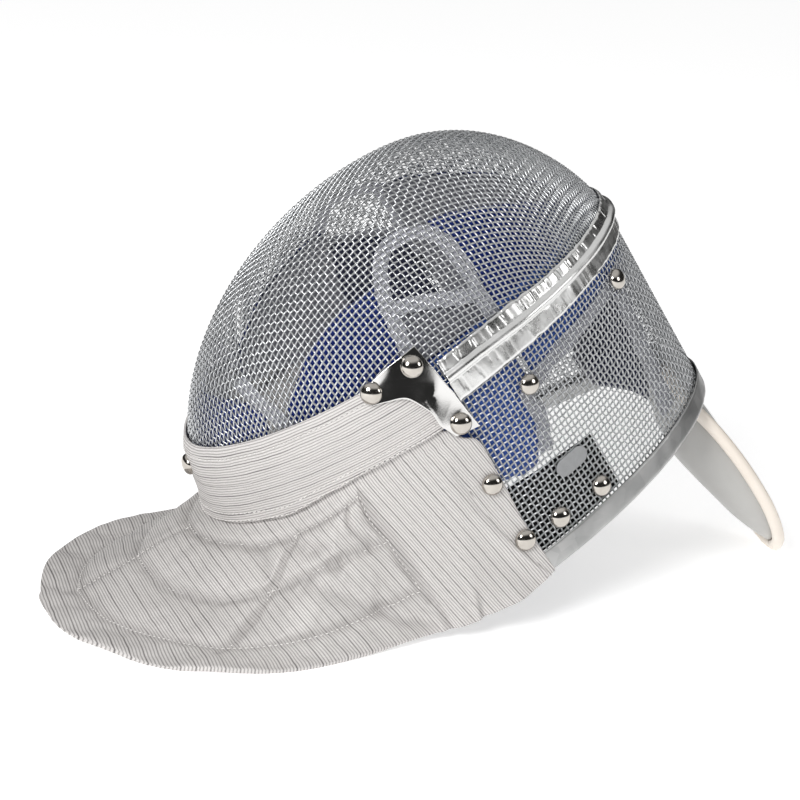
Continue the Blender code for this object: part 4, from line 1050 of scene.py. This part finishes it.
for name, columns, rows in (("forehead", 90, 40), ("chin", 60, 24)):
    t, key = mirrored(pads[name], columns)
    front, rear = [np.interp(key, pads[name]["t"], pads[name][edge])[:, None] for edge in ("front", "rear")]
    addPad(name + "Pad", ("lining_" + name,), t, front, rear, 1.0, rows)
a, b = grid(28, 60)
row, across = b * (len(pads["crown"]["f"]) - 1), 2.0 * a - 1.0
f, top, depth = [between(pads["crown"], column, row) for column in ("f", "top", "depth")]
top = top - 3.0 * across ** 4
bulge = 0.35 + 0.65 * np.sqrt(1.0 - np.clip(np.abs(across), 0.0, 1.0) ** 4)
walls = [settle(np.stack([pads["crown"]["half"] * across, f, level], -1))
         for level in (top, top - depth * bulge)]
# the crown wedge is blue cloth drawn all in the near-black blue: painted shade
wedge = addWall("crownWedge", *walls, liningCloth, ("lining_crown",), "lining",
                np.stack([darkShadedBlue + 0.0 * a, 0.0 * a], -1))
cushion(wedge, (np.abs(across) > 0.9) | (b < 0.05) | (b > 0.95))
lifts = (pads["lift"], pads["lift"] - webbing["thickness"])
for side, suffix in ((1.0, "left"), (-1.0, "right")):
    t = np.linspace(pads["side"]["t"][0], pads["side"]["t"][-1], 71)
    front, rear = [np.interp(t, pads["side"]["t"], pads["side"][edge])[:, None] for edge in ("front", "rear")]
    addPad("sidePad_" + suffix, ("lining_side_" + suffix,), t, front, rear, side, 40)
    a, b = grid(30, 24)
    t = webbing["patchT"][0] + (webbing["patchT"][-1] - webbing["patchT"][0]) * a
    front, rear = [np.interp(t, webbing["patchT"], webbing[edge]) for edge in ("patchFront", "patchRear")]
    patch = addWall("webPatch_" + suffix, *[layer(t, rear + (front - rear) * b, lift, side) for lift in lifts],
                    blackTape, ("strap_patch_" + suffix,), "black_webbing")
    a, b = grid(8, 60)
    f = webbing["strapF"][0] + (webbing["strapF"][1] - webbing["strapF"][0]) * b
    half = np.degrees(webbing["strapHalf"] / shell["seamHalfWidth"])
    t = np.interp(f, webbing["strapF"], webbing["strapT"]) + half * (2.0 * a - 1.0)
    strap = addWall("crownStrap_" + suffix, *[layer(t, f, lift, side) for lift in lifts], greyTape,
                    ("crown_strap_" + suffix,), "grey_webbing")

tapes = {
    "window": {"t": [1.5, 1.4, 1, 2, 4.6, 9, 14.7, 20.3, 22.8, 23.2, 22.8, 22.2, 21.8],
               "f": [10, 34, 50, 62, 68.5, 70.5, 69, 64.5, 57, 48, 37, 24, 8]},
    "flap": {"t": [2.4, 6, 12, 17, 21], "f": [45.5, 43, 37.5, 31.5, 27]},
    "ear": {"t": [26, 23, 19.5, 19, 19.5, 18.5, 16.5], "f": [-28.5, -29.5, -33, -39, -46, -54, -66]},
    "cheek": {"t": [-58, -53, -48, -42.5, -37, -34], "f": [47, 43, 37, 29, 19, 11]},
    "rear": {"t": [21.5, 27, 34, 46, 62, 76, 90], "f": [-31.5, -28.8, -27.2, -26, -25, -24.5, -24.5]},
}
tape = {"half": 4.0, "side": 0.4, "lift": -3.35, "round": 0.3}
corner = np.array([(tape["half"], tape["side"] * 0.6), (tape["half"] - tape["round"], tape["side"])])
tapeEdge = np.concatenate([-corner, corner[::-1] * [1, -1], corner, corner[::-1] * [-1, 1]])
for name, table in tapes.items():
    rows = np.linspace(0.0, len(table["t"]) - 1.0, 90)
    t, f = curved(table, "t", rows), curved(table, "f", rows)
    sides = ((1.0, "Left"), (-1.0, "Right"))
    if name == "rear":  # one tape over the crown from side to side
        t, f = np.concatenate([t, 180.0 - t[-2::-1]]), np.concatenate([f, f[-2::-1]])
        sides = ((1.0, ""),)
    for side, suffix in sides:
        sweep(name + "Tape" + suffix, onShell(t, f, tape["lift"]) * flipped(side),
              shellNormal(t, f) * flipped(side), tapeEdge, greyTape)

tag = {"t": 19.5, "f": -77.8, "length": 17.5, "width": 9.6, "sheet": 1.0, "lift": 0.6}

# soft grey plastic of the size tag, left bare
greyPlastic = speckled("greyPlastic", ("858687", "9A9B9C"), (300.0, 3.0), 0.45, IOR=1.5)
a, b = grid(24, 16)
along = np.sin((a - 0.5) * np.pi) * tag["length"] / 2.0 * 0.999
# straight sides and half-round ends
past = np.maximum(np.abs(along) - (tag["length"] - tag["width"]) / 2.0, 0.0)
aside = (2.0 * b - 1.0) * np.sqrt((tag["width"] / 2.0) ** 2 - past ** 2)
t = tag["t"] + np.degrees(along / shell["rearHeight"]) * 1.2
addWall("sizeTag", *[layer(t, tag["f"] + aside, lift) for lift in (tag["lift"] + tag["sheet"], tag["lift"])],
        greyPlastic, ("size_tag",), "tag")
print("lining, webbing and tag made")
